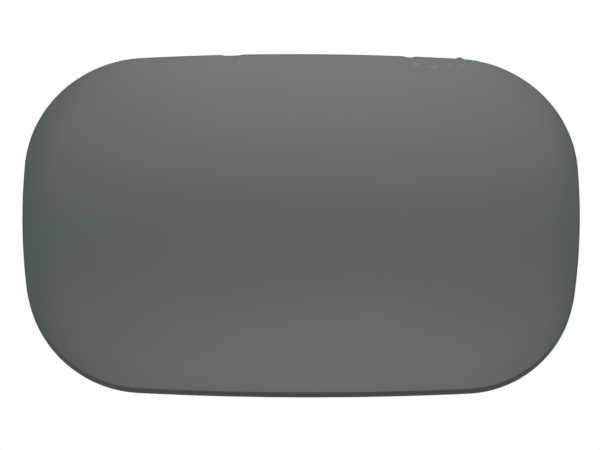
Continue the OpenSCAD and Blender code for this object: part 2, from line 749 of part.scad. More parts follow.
// Rubber buffer: a domed head on the raised field, with a neck and a bulb that hold it in its hole
BULB_R = 4.2;
BULB_H = 3;
DOME_H = 2;
HEAD_DRAFT = 0.8;
module buffer() {
    dome_r = buffer_d;
    rim_h = buffer_h - DOME_H;
    color(rubber) translate([buffer_x, 0, bead_z]) turned_on_y() {
        polygon([
            [0, deck_front - BULB_H], [BULB_R / 3, deck_front - BULB_H], [BULB_R, deck_front],
            [buffer_neck_r, deck_front], [buffer_neck_r, deck_depth], [buffer_d / 2, deck_depth],
            [buffer_d / 2 - HEAD_DRAFT, deck_depth + rim_h], [0, deck_depth + rim_h]
        ]);
        intersection() {
            translate([0, deck_depth + buffer_h - dome_r]) circle(dome_r);
            translate([0, deck_depth + rim_h - OVERLAP])
                square([buffer_d / 2 - HEAD_DRAFT, DOME_H + OVERLAP]);
        }
    }
}
module upper_buffer() buffer();
module lower_buffer() mirror([0, 0, 1]) buffer();

// Plan of the cap rest's wall: a U that is open at the top
REST_LOW_EDGE = 2;
REST_TOP_EDGE = 4.5;
rest_half = grip_slot_w / 2 + rest_wall;
REST_LOW = rest_half + REST_LOW_EDGE - rest_base / 2;
REST_TOP = rest_base / 2 - REST_TOP_EDGE;
module u_shape(slot_w) difference() {
    union() {
        translate([0, REST_LOW]) circle(rest_half);
        translate([-rest_half, REST_LOW]) square([2 * rest_half, REST_TOP - REST_LOW]);
    }
    translate([0, REST_LOW]) circle(slot_w / 2);
    translate([-slot_w / 2, REST_LOW]) square([slot_w, REST_TOP - REST_LOW + OVERLAP]);
}

// Gussets between the cap rest's wall and its base
GUSSET_T = 1.6;
GUSSET_RUN = 6;
module gussets(base_top) for (s = [0, 1], z = [REST_LOW, REST_TOP - 2 * GUSSET_T])
    mirror([s, 0, 0]) along_z(z, z + GUSSET_T) polygon([
        [rest_half - OVERLAP, base_top - OVERLAP], [rest_half + GUSSET_RUN, base_top - OVERLAP],
        [rest_half + GUSSET_RUN, base_top], [rest_half, base_top + rest_h - 2 * REST_LIP_T],
        [rest_half - OVERLAP, base_top + rest_h - 2 * REST_LIP_T]
    ]);

// Cap rest: a moulded holster that takes the fuel cap's grip while the tank is filled
REST_BASE_T = 2;
REST_CORNER = 4;
REST_LIP = 1.4;
REST_LIP_T = 2;
LEG_BARB = 0.7;
LEG_TAPER = 0.9;
LEG_DEPTH = 2.6;
module cap_rest() {
    base_top = deck_depth + REST_BASE_T;
    lip_front = base_top + rest_h - REST_LIP_T;
    color(black_plastic) {
        translate([rest_x, 0, 0]) {
            along_y(deck_depth, base_top)
                round_rect([-rest_base / 2, -rest_base / 2], [rest_base / 2, rest_base / 2], REST_CORNER);
            along_y(base_top - OVERLAP, lip_front) u_shape(grip_slot_w);
            along_y(lip_front, lip_front + REST_LIP_T) u_shape(grip_slot_w - 2 * REST_LIP);
            gussets(base_top);
        }
        for (p = rest_leg_places) translate([p.x, 0, p.y]) turned_on_y() polygon([
            [0, deck_depth + OVERLAP], [rest_leg_r, deck_depth + OVERLAP],
            [rest_leg_r, deck_front - RUNNING_FIT], [rest_leg_r + LEG_BARB, deck_front - RUNNING_FIT],
            [rest_leg_r - LEG_TAPER, deck_front - LEG_DEPTH], [0, deck_front - LEG_DEPTH]
        ]);
    }
}

on_mount() outer_skin();
on_mount() inner_panel();
on_mount() hinge_doubler();
on_mount() hinge_arm();
on_mount() arm_rivets();
on_mount() upper_bush();
on_mount() lower_bush();
on_mount() hinge_pin();
on_mount() pin_clip();
on_mount() hinge_bracket();
on_mount() closing_spring();
on_mount() spring_sleeve();
on_mount() lock_tongue();
on_mount() tongue_rivets();
on_mount() upper_buffer();
on_mount() lower_buffer();
on_mount() cap_rest();
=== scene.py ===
"""Looks of a car fuel door: a pressed steel door in primer with its hidden spring hinge.

Lengths in the classes are millimetres in the door's own frame: x along the door, y inwards from the
middle of the outer face, z up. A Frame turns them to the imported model's metres.
"""

import json
import logging
import math
from dataclasses import dataclass, field
from enum import Enum

import bmesh
import bpy
from mathutils import Matrix, Vector

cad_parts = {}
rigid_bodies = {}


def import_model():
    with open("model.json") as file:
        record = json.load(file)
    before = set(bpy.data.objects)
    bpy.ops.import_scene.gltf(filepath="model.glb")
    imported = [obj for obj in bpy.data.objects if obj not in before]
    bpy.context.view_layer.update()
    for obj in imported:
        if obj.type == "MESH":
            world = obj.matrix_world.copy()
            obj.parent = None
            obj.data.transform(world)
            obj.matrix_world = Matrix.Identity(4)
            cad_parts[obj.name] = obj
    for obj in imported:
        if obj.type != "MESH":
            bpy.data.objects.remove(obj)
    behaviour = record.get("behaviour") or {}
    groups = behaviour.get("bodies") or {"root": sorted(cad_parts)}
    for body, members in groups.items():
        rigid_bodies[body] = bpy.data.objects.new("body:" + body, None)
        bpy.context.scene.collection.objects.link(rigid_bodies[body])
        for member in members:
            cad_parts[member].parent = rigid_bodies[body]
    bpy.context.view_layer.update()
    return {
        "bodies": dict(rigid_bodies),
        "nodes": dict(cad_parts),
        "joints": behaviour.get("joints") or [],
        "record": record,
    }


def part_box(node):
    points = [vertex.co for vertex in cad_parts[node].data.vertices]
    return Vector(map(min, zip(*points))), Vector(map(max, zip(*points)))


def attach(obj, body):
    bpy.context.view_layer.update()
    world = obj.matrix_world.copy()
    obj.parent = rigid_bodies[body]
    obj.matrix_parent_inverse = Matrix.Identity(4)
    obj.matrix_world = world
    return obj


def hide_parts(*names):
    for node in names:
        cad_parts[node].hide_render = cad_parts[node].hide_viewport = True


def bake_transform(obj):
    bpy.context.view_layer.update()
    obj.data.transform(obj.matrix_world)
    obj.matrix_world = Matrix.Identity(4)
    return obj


LOG = logging.getLogger("fuel_door")
MM = 0.001
IMAGE_SIZE = (600, 450)
SKIRT = "skirt"
FACING = "facing"

Point2 = tuple[float, float]
Point3 = Vector | tuple[float, float, float]
Section = list[tuple[float, float, float]]
Colour = tuple[float, float, float, float]
Tree = bpy.types.NodeTree
Node = bpy.types.Node
Socket = bpy.types.NodeSocket
Inputs = dict[str | int, object]
Piece = bpy.types.Object


class Body(Enum):
    """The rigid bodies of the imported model."""

    MOUNT = "hinge_mount"
    DOOR = "door"


class Slot(Enum):
    """The record's material slots."""

    SKIN = "skin_primer"
    PANEL = "panel_primer"
    HINGE = "hinge_primer"
    ZINC = "zinc_plate"
    SPRING = "spring_steel"
    NYLON = "nylon"
    RUBBER = "buffer_rubber"
    PLASTIC = "rest_plastic"


class Axis(Enum):
    """The ways that a turned piece's axis can run."""

    INWARDS = "y"
    UP = "z"


@dataclass(frozen=True)
class Frame:
    """Where the door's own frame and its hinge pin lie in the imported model.

    Args:
        origin: the middle of the outer face, in metres.
        pin: a point on the hinge pin's axis, in metres.
    """

    origin: Vector
    pin: Vector

    @classmethod
    def from_model(cls, model: dict) -> "Frame":
        """Reads both places from the loaded model."""
        low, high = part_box("outer_skin")
        return cls(Vector(((low.x + high.x) / 2, low.y, 0)), Vector(model["joints"][0]["pos_m"]))

    def metres(self, point: Point3) -> Vector:
        """A point of the door's own frame, in the model's frame."""
        return self.origin + Vector(point) * MM

    def at_pin(self, point: Point3) -> Vector:
        """A point given in millimetres from the pin's axis, in the model's frame."""
        return self.pin + Vector(point) * MM


def linear(code: str) -> Colour:
    """Turns an sRGB hex value to a linear colour.

    Args:
        code: six hex digits after a hash.

    Returns:
        Red, green, blue and alpha, linear.
    """
    values = [int(code[i:i + 2], 16) / 255 for i in (1, 3, 5)]
    return (*(v / 12.92 if v <= 0.04045 else ((v + 0.055) / 1.055) ** 2.4 for v in values), 1.0)


def feed(tree: Tree, node: Node, inputs: Inputs) -> None:
    """Gives a node's inputs their values or their links.

    Args:
        tree: the node tree.
        node: the node.
        inputs: input name or index to a value or to the output socket that feeds it.
    """
    for key, value in inputs.items():
        if isinstance(value, Socket):
            tree.links.new(value, node.inputs[key])
        else:
            node.inputs[key].default_value = value


def add_node(tree: Tree, kind: str, inputs: Inputs | None = None, **settings: object) -> Node:
    """Adds a node with its settings, its values and its links.

    Args:
        tree: the node tree.
        kind: the node's type name.
        inputs: what its inputs are given.
        settings: attributes of the node.

    Returns:
        The new node.
    """
    node = tree.nodes.new(kind)
    for name, value in settings.items():
        setattr(node, name, value)
    feed(tree, node, inputs or {})
    return node


@dataclass(frozen=True)
class Pattern:
    """A cloudy pattern that is fixed to the piece.

    Args:
        size_mm: width of its blotches.
        detail: how many finer layers they have.
        slide: metres by which it is slid, so that two patterns don't fall together.
        span: levels of the pattern at which its mask starts and is full.
        weight: the mask's value where it is full.
    """

    size_mm: float
    detail: float
    slide: float = 0.0
    span: Point2 = (0.0, 1.0)
    weight: float = 1.0

    def level(self, tree: Tree, place: Socket) -> Socket:
        """Its level, about 0.5 on average.

        Args:
            tree: the material's tree.
            place: object coordinates.

        Returns:
            The level at each place.
        """
        moved = add_node(tree, "ShaderNodeMapping", {
            "Vector": place, "Location": (self.slide, self.slide / 2, -self.slide),
        })
        return add_node(tree, "ShaderNodeTexNoise", {
            "Vector": moved.outputs[0], "Scale": 1 / (self.size_mm * MM), "Detail": self.detail,
        }).outputs["Fac"]

    def mask(self, tree: Tree, level: Socket) -> Socket:
        """Its mask, which rises smoothly over its span of levels.

        Args:
            tree: the material's tree.
            level: its level.

        Returns:
            The mask, from 0 to its weight.
        """
        return add_node(tree, "ShaderNodeMapRange", {
            "Value": level, "From Min": self.span[0], "From Max": self.span[1], "To Max": self.weight,
        }, interpolation_type="SMOOTHSTEP").outputs["Result"]


@dataclass(frozen=True)
class Finish:
    """What the finishes share: a principled shader whose patterns are in object coordinates.

    Args:
        name: the material's name, a plain name of what it is.
    """

    name: str

    def material(self) -> bpy.types.Material:
        """Finds its material, or makes it when it is first asked for.

        Returns:
            The material.
        """
        material = bpy.data.materials.get(self.name)
        if material is None:
            material = bpy.data.materials.new(self.name)
            material.use_nodes = True
            tree = material.node_tree
            place = add_node(tree, "ShaderNodeTexCoord").outputs["Object"]
            feed(tree, tree.nodes["Principled BSDF"], self.dress(tree, place))
        return material

    def dress(self, tree: Tree, place: Socket) -> Inputs:
        """What the finish gives the shader's inputs; each finish has its own."""
        raise NotImplementedError

    def layered(self, tree: Tree, shade: str, layers: list[tuple[Socket, str]]) -> Socket:
        """Lays colours over a shade, one after the other.

        Args:
            tree: the material's tree.
            shade: the lowest colour.
            layers: each further colour after the mask that lays it on.

        Returns:
            The colour.
        """
        colour: Colour | Socket = linear(shade)
        for mask, code in layers:
            colour = add_node(
                tree, "ShaderNodeMix", {0: mask, 6: colour, 7: linear(code)}, data_type="RGBA").outputs[2]
        return colour

    def relief(self, tree: Tree, heights: list[tuple[Socket, float]]) -> Socket:
        """Lays reliefs over one another.

        Args:
            tree: the material's tree.
            heights: each relief's height, and its full depth in millimetres.

        Returns:
            The normal.
        """
        under: Inputs = {}
        for height, depth_mm in heights:
            under["Normal"] = add_node(tree, "ShaderNodeBump", {
                "Height": height, "Distance": depth_mm * MM, "Strength": 1.0, **under,
            }).outputs["Normal"]
        return under["Normal"]


@dataclass(frozen=True)
class Scuff:
    """A rubbed spot in the primer, on the outer face.

    Args:
        x: place along the door.
        z: place up the door.
        length: length of the spot along the door.
        height: its height.
        strength: how far it pales the primer, from 0 to 1.
    """

    x: float
    z: float
    length: float
    height: float
    strength: float


@dataclass(frozen=True)
class Primer(Finish):
    """Cathodic dip primer on pressed steel: a thin, even, satin grey-green film.

    The dip leaves a faint orange peel and a soft sheen, and it greys and dulls where it was handled.

    Args:
        shade: its main colour.
        pale: its colour where the film is thin.
        sheen: weight of the satin layer on top.
        roughness: roughness of the film under it.
        bare_and_shaded_skirt: whether the turned skirt, as its attribute marks it, has no satin layer and
            also has painted shade, a darker colour laid on because it faces down.
        scuffs: rubbed spots.
        centre: the middle of the outer face, in metres, from which the spots are placed.
    """

    shade: str = "#3E4B49"
    pale: str = "#4C5957"
    sheen: float = 0.75
    roughness: float = 0.65
    bare_and_shaded_skirt: bool = False
    scuffs: tuple[Scuff, ...] = ()
    centre: tuple[float, float, float] = (0.0, 0.0, 0.0)

    # The film runs thinner in clouds a few centimetres wide, where the bath drained off the sheet
    CLOUD = Pattern(55, 2.0, span=(0.40, 0.72), weight=0.22)
    # The pigment's grain is near 0.1 mm and wouldn't show, so it is drawn at 0.7 mm
    GRAIN = Pattern(0.7, 2.0, 0.3, (0.60, 0.78), 0.16)
    # Orange peel of a dipped film, crest to crest about 2 mm
    PEEL = Pattern(2.2, 1.0, 0.7)
    # Rubbing takes the grain's crests first, so the same grain breaks up the rubbed spots
    WORN_GRAIN = Pattern(0.7, 2.0, 0.3, (0.38, 0.58))
    GRAIN_DEPTH = 0.004
    PEEL_DEPTH = 0.010
    GLOSS = 0.15
    SHEEN_ROUGHNESS = 0.27
    RUBBED = "#8FA19C"
    # Painted shade on the turned skirt, which faces down into shade: this darker colour is laid over the
    # primer at this share
    SKIRT_PAINTED_SHADE = "#2B302F"
    SKIRT_PAINTED_SHADE_SHARE = 0.75
    SPOT_EDGE = (1.25, 0.35)
    SPOT_DEPTH = 0.05

    def dress(self, tree: Tree, place: Socket) -> Inputs:
        """The film's colour, relief and sheen.

        Args:
            tree: the material's tree.
            place: object coordinates.

        Returns:
            What the shader's inputs are given.
        """
        cloud, grain, peel = (p.level(tree, place) for p in (self.CLOUD, self.GRAIN, self.PEEL))
        layers = [(self.CLOUD.mask(tree, cloud), self.pale), (self.GRAIN.mask(tree, grain), self.pale)]
        sheen: float | Socket = self.sheen
        if self.scuffs:
            layers.append((self.rubbed(tree, place, grain), self.RUBBED))
        # Where the skirt is marked, the satin layer is taken off and painted shade darkens its colour,
        # because it faces down
        if self.bare_and_shaded_skirt:
            bare = add_node(tree, "ShaderNodeAttribute", attribute_name=SKIRT).outputs["Fac"]
            sheen = add_node(tree, "ShaderNodeMapRange", {
                "Value": bare, "To Min": self.sheen, "To Max": 0.0}).outputs["Result"]
            share = add_node(tree, "ShaderNodeMath", {0: bare, 1: self.SKIRT_PAINTED_SHADE_SHARE}, operation="MULTIPLY")
            layers.append((share.outputs[0], self.SKIRT_PAINTED_SHADE))
        return {
            "Base Color": self.layered(tree, self.shade, layers),
            "Normal": self.relief(tree, [(peel, self.PEEL_DEPTH), (grain, self.GRAIN_DEPTH)]),
            "Roughness": self.roughness,
            "Specular IOR Level": self.GLOSS,
            "Coat Weight": sheen,
            "Coat Roughness": self.SHEEN_ROUGHNESS,
        }

    def rubbed(self, tree: Tree, place: Socket, grain: Socket) -> Socket:
        """The mask of the rubbed spots.

        Args:
            tree: the material's tree.
            place: object coordinates.
            grain: the grain's level, which breaks up the spots.

        Returns:
            The mask.
        """
        broken = self.WORN_GRAIN.mask(tree, grain)
        mask: float | Socket = 0.0
        for spot in self.scuffs:
            middle = Vector(self.centre) + Vector((spot.x, 0, spot.z)) * MM
            stretch = Vector((2 / spot.length, self.SPOT_DEPTH, 2 / spot.height)) / MM
            near = add_node(tree, "ShaderNodeMapping", {
                "Vector": place, "Scale": stretch, "Location": -(middle * stretch)}).outputs[0]
            away = add_node(tree, "ShaderNodeVectorMath", {0: near}, operation="LENGTH").outputs["Value"]
            rub = add_node(tree, "ShaderNodeMapRange", {
                "Value": away, "From Min": self.SPOT_EDGE[0], "From Max": self.SPOT_EDGE[1],
                "To Max": spot.strength,
            }, interpolation_type="SMOOTHSTEP").outputs["Result"]
            one = add_node(tree, "ShaderNodeMath", {0: rub, 1: broken}, operation="MULTIPLY").outputs[0]
            mask = add_node(tree, "ShaderNodeMath", {0: mask, 1: one}, operation="MAXIMUM").outputs[0]
        return mask


@dataclass(frozen=True)
class ZincPlate(Finish):
    """Clear passivated zinc plating on steel: satin metal, bright at its edges, with a cloudy bloom."""

    # The passivation dries in patches some millimetres wide, greyer and duller than the zinc between
    BLOOM = Pattern(7, 4.0, span=(0.35, 0.70))
    # The rolled sheet's grain is finer than 0.1 mm and wouldn't show, so it is drawn at 0.5 mm
    ROLLED = Pattern(0.5, 3.0, 0.2)
    ROLLED_DEPTH = 0.006
    ROUGHNESS = (0.32, 0.44)
    SHADE = "#B2B3AF"
    BLOOM_SHADE = "#A0A2A2"

    def dress(self, tree: Tree, place: Socket) -> Inputs:
        """The plating's colour, bloom and rolled grain.

        Args:
            tree: the material's tree.
            place: object coordinates.

        Returns:
            What the shader's inputs are given.
        """
        bloom = self.BLOOM.level(tree, place)
        bloomed = self.BLOOM.mask(tree, bloom)
        rough = add_node(tree, "ShaderNodeMapRange", {
            "Value": bloom, "To Min": self.ROUGHNESS[0], "To Max": self.ROUGHNESS[1]})
        return {
            "Base Color": self.layered(tree, self.SHADE, [(bloomed, self.BLOOM_SHADE)]),
            "Normal": self.relief(tree, [(self.ROLLED.level(tree, place), self.ROLLED_DEPTH)]),
            "Roughness": rough.outputs["Result"],
            "Metallic": 1.0,
        }


@dataclass(frozen=True)
class OiledSteel(Finish):
    """Oil-tempered spring wire and clip steel: dark, smooth metal with a dull shine and slight streaks."""

    # Scale and oil stay on the drawn wire in streaks about as wide as the wire is thick
    STREAK = Pattern(2.5, 5.0, span=(0.45, 0.75))
    STREAK_DEPTH = 0.010
    ROUGHNESS = 0.36
    SHADE = "#4B4846"
    STREAK_SHADE = "#6B6763"

    def dress(self, tree: Tree, place: Socket) -> Inputs:
        """The wire's colour, streaks and shine.

        Args:
            tree: the material's tree.
            place: object coordinates.

        Returns:
            What the shader's inputs are given.
        """
        streak = self.STREAK.level(tree, place)
        streaked = self.STREAK.mask(tree, streak)
        return {
            "Base Color": self.layered(tree, self.SHADE, [(streaked, self.STREAK_SHADE)]),
            "Normal": self.relief(tree, [(streak, self.STREAK_DEPTH)]),
            "Roughness": self.ROUGHNESS,
            "Metallic": 1.0,
        }


@dataclass(frozen=True)
class Moulded(Finish):
    """A moulded polymer: its mould's grain in relief, paler where hands and dust have been.

    Args:
        shade: its colour.
        worn: its colour where it is rubbed or dusty.
        roughness: its roughness.
        grain_mm: width of the mould's grain.
        grain_depth: height of that grain.
        ior: index of refraction.
    """

    shade: str
    worn: str
    roughness: float
    grain_mm: float
    grain_depth: float
    ior: float

    # Hands and dust leave patches about a fingertip wide
    TOUCHED = Pattern(9, 4.0, span=(0.45, 0.80), weight=0.35)

    def dress(self, tree: Tree, place: Socket) -> Inputs:
        """The polymer's colour, wear and mould grain.

        Args:
            tree: the material's tree.
            place: object coordinates.

        Returns:
            What the shader's inputs are given.
        """
        touched = self.TOUCHED.mask(tree, self.TOUCHED.level(tree, place))
        cells = add_node(tree, "ShaderNodeTexVoronoi", {"Vector": place, "Scale": 1 / (self.grain_mm * MM)})
        return {
            "Base Color": self.layered(tree, self.shade, [(touched, self.worn)]),
            "Normal": self.relief(tree, [(cells.outputs["Distance"], self.grain_depth)]),
            "Roughness": self.roughness,
            "IOR": self.ior,
        }


def evenly(start: float, end: float, steps: int) -> list[float]:
    """Numbers from start to end in equal steps, with both ends."""
    return [start + (end - start) * i / steps for i in range(steps + 1)]


def heading(v: Vector) -> float:
    """Direction of a vector in degrees, from 0 to 360."""
    return math.degrees(math.atan2(v.y, v.x)) % 360


@dataclass(frozen=True)
class Arc:
    """An arc with headings in degrees."""

    centre: Point2
    radius: float
    start: float
    end: float
    steps: int

    def points(self, inset: float = 0.0) -> list[Point2]:
        """Its points from start to end.

        Args:
            inset: how far they are moved towards its centre.

        Returns:
            The points, one more than its steps.
        """
        (x, y), reach = self.centre, self.radius - inset
        turns = (math.radians(a) for a in evenly(self.start, self.end, self.steps))
        return [(x + reach * math.cos(t), y + reach * math.sin(t)) for t in turns]


def dome(radius: float, height: float, base: float, cut: float) -> list[Point2]:
    """Section of a shallow dome, from near its rim to its crest.

    Args:
        radius: radius of its rim.
        height: height of its crest over the rim.
        base: the rim's place along the axis.
        cut: how far inside the rim the section starts.

    Returns:
        Points of radius and place along the axis.
    """
    ball = (radius ** 2 + height ** 2) / (2 * height)
    sweep = math.degrees(math.asin((radius - cut) / ball))
    return Arc((0, base + height - ball), ball, 90 - sweep, 90, 10).points()


@dataclass
class RoundedEdge:
    """A closed edge of eight tangent arcs: four corners, two long edges and two sides.

    Args:
        width: width over the sides.
        height: height over the long edges.
        corners: corner radii, top right first, then anticlockwise.
        long_bow: radius of the long edges' bow.
        side_bow: radius of the sides' bow.
        side_lift: height of the sides' bow centres.
        shift: place of its middle along the door.
        steps: steps on a corner, a long edge and a side.
    """

    width: float
    height: float
    corners: tuple[float, float, float, float]
    long_bow: float = 1100.0
    side_bow: float = 225.0
    side_lift: float = 5.4
    shift: float = 0.0
    steps: tuple[int, int, int] = (46, 72, 26)

    def corner(self, sx: int, sz: int, radius: float) -> tuple[Vector, float, float]:
        """Finds the arc of one corner.

        Args:
            sx: -1 on the left, 1 on the right.
            sz: -1 below, 1 above.
            radius: the corner's radius.

        Returns:
            Its centre, and its headings at the side and at the long edge.
        """
        long_centre = Vector((0, sz * (self.height / 2 - self.long_bow)))
        side_centre = Vector((sx * (self.width / 2 - self.side_bow), self.side_lift))
        long_reach, side_reach = self.long_bow - radius, self.side_bow - radius
        gap = side_centre - long_centre
        along = (long_reach ** 2 - side_reach ** 2 + gap.length_squared) / (2 * gap.length)
        across = math.sqrt(long_reach ** 2 - along ** 2)
        unit = gap.normalized()
        centre = long_centre + along * unit - sx * sz * across * Vector((-unit.y, unit.x))
        return centre, heading(centre - side_centre), heading(centre - long_centre)

    def arcs(self) -> list[Arc]:
        """Finds its arcs.

        Returns:
            The eight arcs, anticlockwise from the right end of the top right corner.
        """
        places = ((1, 1), (-1, 1), (-1, -1), (1, -1))
        tr, tl, bl, br = (self.corner(*place, r) for place, r in zip(places, self.corners))
        r_tr, r_tl, r_bl, r_br = self.corners
        top = Vector((0, self.height / 2 - self.long_bow))
        left = Vector((self.side_bow - self.width / 2, self.side_lift))
        right = Vector((self.width / 2 - self.side_bow, self.side_lift))
        n_corner, n_long, n_side = self.steps
        rows = [
            (tr[0], r_tr, tr[1], tr[2], n_corner), (top, self.long_bow, tr[2], tl[2], n_long),
            (tl[0], r_tl, tl[2], tl[1], n_corner), (left, self.side_bow, tl[1], bl[1], n_side),
            (bl[0], r_bl, bl[1], bl[2], n_corner), (-top, self.long_bow, bl[2], br[2], n_long),
            (br[0], r_br, br[2], br[1], n_corner), (right, self.side_bow, br[1], tr[1] + 360, n_side),
        ]
        return [Arc((c.x + self.shift, c.y), r, a, b, n) for c, r, a, b, n in rows]

    def points(self, inset: float) -> list[Point2]:
        """Its points, moved inwards by inset."""
        return [p for arc in self.arcs() for p in arc.points(inset)[:-1]]


def rounded(path: Section, radii: list[float], steps: int) -> Section:
    """Turns the corners of a section to arcs.

    Args:
        path: points of station, depth and share of the crown.
        radii: one bend radius for each point, 0 where it stays sharp.
        steps: steps in each arc.

    Returns:
        The finer section.
    """
    result: Section = []
    for i, (point, radius) in enumerate(zip(path, radii)):
        if radius == 0:
            result.append(point)
            continue
        here = Vector(point[:2])
        back = Vector(path[i - 1][:2]) - here
        ahead = Vector(path[i + 1][:2]) - here
        half = back.angle(ahead) / 2
        reach = radius / math.tan(half)
        centre = here + (back.normalized() + ahead.normalized()).normalized() * radius / math.sin(half)
        first = here + back.normalized() * reach - centre
        last = here + ahead.normalized() * reach - centre
        turn = math.pi - 2 * half
        for f in evenly(0, 1, steps):
            q = centre + (first * math.sin((1 - f) * turn) + last * math.sin(f * turn)) / math.sin(turn)
            near, leg = (path[i - 1], back) if f < 0.5 else (path[i + 1], ahead)
            share = point[2] + (near[2] - point[2]) * abs(1 - 2 * f) * reach / leg.length
            result.append((q.x, q.y, share))
    return result


def sheet_section(path: Section, thickness: float) -> Section:
    """Both faces of a sheet.

    Args:
        path: the front face, from the middle to the edge.
        thickness: the sheet's thickness.

    Returns:
        The front face, and the rear face from the edge back to the middle.
    """
    rear: Section = []
    last = len(path) - 1
    for i, point in enumerate(path):
        into = (Vector(path[max(i, 1)][:2]) - Vector(path[max(i - 1, 0)][:2])).normalized()
        out = (Vector(path[min(i + 1, last)][:2]) - Vector(path[min(i, last - 1)][:2])).normalized()
        n = Vector((into.y + out.y, -into.x - out.x))
        m = n * 2 / n.length_squared
        rear.append((point[0] + thickness * m.x, point[1] + thickness * m.y, point[2]))
    return path + rear[::-1]


def finished(piece: Piece, angle: float) -> Piece:
    """Links an object, turns its faces outwards and sets its smooth and hard edges.

    Args:
        piece: the object.
        angle: edges sharper than this many degrees stay hard.

    Returns:
        The same object.
    """
    if piece.name not in bpy.context.scene.collection.all_objects:
        bpy.context.scene.collection.objects.link(piece)
    build = bmesh.new()
    build.from_mesh(piece.data)
    bmesh.ops.remove_doubles(build, verts=build.verts, dist=0.0005 * MM)
    bmesh.ops.recalc_face_normals(build, faces=build.faces)
    for face in build.faces:
        face.smooth = True
    for edge in build.edges:
        edge.smooth = len(edge.link_faces) != 2 or edge.calc_face_angle() < math.radians(angle)
    build.to_mesh(piece.data)
    build.free()
    return piece


def mesh_object(
    name: str, points: list[Vector], faces: list[tuple[int, ...]], finish: Finish, angle: float,
) -> Piece:
    """Makes a shaded mesh object at the origin.

    Args:
        name: the piece's name.
        points: its points, in metres.
        faces: its faces.
        finish: its finish.
        angle: edges sharper than this many degrees stay hard.

    Returns:
        The object.
    """
    mesh = bpy.data.meshes.new(name)
    mesh.from_pydata(points, [], faces)
    mesh.materials.append(finish.material())
    return finished(bpy.data.objects.new(name, mesh), angle)


def ring_faces(rings: int, count: int) -> list[tuple[int, ...]]:
    """Faces of a closed solid through rings of points, with a pole before and after them.

    Args:
        rings: number of rings.
        count: points in each ring.

    Returns:
        The faces, by the points' numbers.
    """
    def at(ring: int, i: int) -> int:
        """Number of a ring's point, counted round."""
        return 1 + ring * count + i % count

    end = 1 + rings * count
    faces = [(0, at(0, i + 1), at(0, i)) for i in range(count)]
    for ring in range(rings - 1):
        faces += [(at(ring, i), at(ring, i + 1), at(ring + 1, i + 1), at(ring + 1, i)) for i in range(count)]
    return faces + [(at(rings - 1, i), at(rings - 1, i + 1), end) for i in range(count)]


def turned(
    name: str, profile: list[Point2], base: Vector, axis: Axis, finish: Finish,
    steps: int = 56, angle: float = 35.0,
) -> Piece:
    """Makes a turned piece, a ring where its profile starts off the axis.

    Args:
        name: the piece's name.
        profile: points of radius and place along the axis, in millimetres.
        base: where the axis starts, in metres.
        axis: the way that the axis runs.
        finish: its finish.
        steps: steps round the axis.
        angle: edges sharper than this many degrees stay hard.

    Returns:
        The object.
    """
    points, faces = [], []
    for radius, along in profile:
        for i in range(steps):
            turn = 2 * math.pi * i / steps
            a, b = radius * math.cos(turn), radius * math.sin(turn)
            offset = Vector((a, along, b)) if axis is Axis.INWARDS else Vector((a, b, along))
            points.append(base + offset * MM)
    count = len(profile)
    is_ring = profile[0][0] > 0
    for k in range(count if is_ring else count - 1):
        nxt = (k + 1) % count
        for i in range(steps):
            j = (i + 1) % steps
            faces.append((k * steps + i, k * steps + j, nxt * steps + j, nxt * steps + i))
    return mesh_object(name, points, faces, finish, angle)


def applied(piece: Piece) -> Piece:
    """Turns an object's modifiers into its plain mesh.

    Args:
        piece: the object.

    Returns:
        The same object.
    """
    mesh = bpy.data.meshes.new_from_object(piece.evaluated_get(bpy.context.evaluated_depsgraph_get()))
    piece.modifiers.clear()
    piece.data = mesh
    return piece


def softened(
    node: str, name: str, radius_mm: float, finish: Finish,
    sliver_mm: float = 0.06, flat: float = 0.6, sharp: float = 38.0, crowd: int = 5, angle: float = 42.0,
) -> Piece:
    """A copy of a CAD node with its sharp edges rounded, as pressing and deburring leave them.

    The flat faces keep their own normals, so that light runs evenly over them.

    Args:
        node: the node's name.
        name: the new piece's name.
        radius_mm: radius of the rounded edges.
        finish: its finish.
        sliver_mm: points closer than this are merged.
        flat: faces that differ by fewer degrees are joined.
        sharp: edges sharper than this many degrees are rounded.
        crowd: edges at a point where more edges than this meet are left as they are.
        angle: edges sharper than this many degrees stay hard.

    Returns:
        The new piece.
    """
    build = bmesh.new()
    build.from_mesh(bpy.data.objects[node].data)
    bmesh.ops.remove_doubles(build, verts=build.verts, dist=sliver_mm * MM)
    bmesh.ops.dissolve_limit(build, angle_limit=math.radians(flat), verts=build.verts, edges=build.edges)
    crowded = {v for v in build.verts if len(v.link_edges) > crowd}
    hard = [e for e in build.edges if e.calc_face_angle(0) > math.radians(sharp)]
    hard = [e for e in hard if not crowded & set(e.verts)]
    bmesh.ops.bevel(
        build, geom=hard, offset=radius_mm * MM, offset_type="OFFSET", segments=3, profile=0.5,
        affect="EDGES", clamp_overlap=False,
    )
    mesh = bpy.data.meshes.new(name)
    build.to_mesh(mesh)
    build.free()
    mesh.materials.clear()
    mesh.materials.append(finish.material())
    piece = finished(bpy.data.objects.new(name, mesh), angle)
    piece.modifiers.new("flats", "WEIGHTED_NORMAL").keep_sharp = True
    return applied(piece)


def new_tree(name: str, *sizes: str) -> tuple[Tree, Node]:
    """Starts a geometry tree.

    Args:
        name: the tree's name.
        sizes: the names of its sizes, each an input of its own.

    Returns:
        The tree and its input node.
    """
    tree = bpy.data.node_groups.new(name, "GeometryNodeTree")
    for way in ("INPUT", "OUTPUT"):
        tree.interface.new_socket("Geometry", in_out=way, socket_type="NodeSocketGeometry")
    for size in sizes:
        tree.interface.new_socket(size, in_out="INPUT", socket_type="NodeSocketFloat")
    return tree, add_node(tree, "NodeGroupInput")


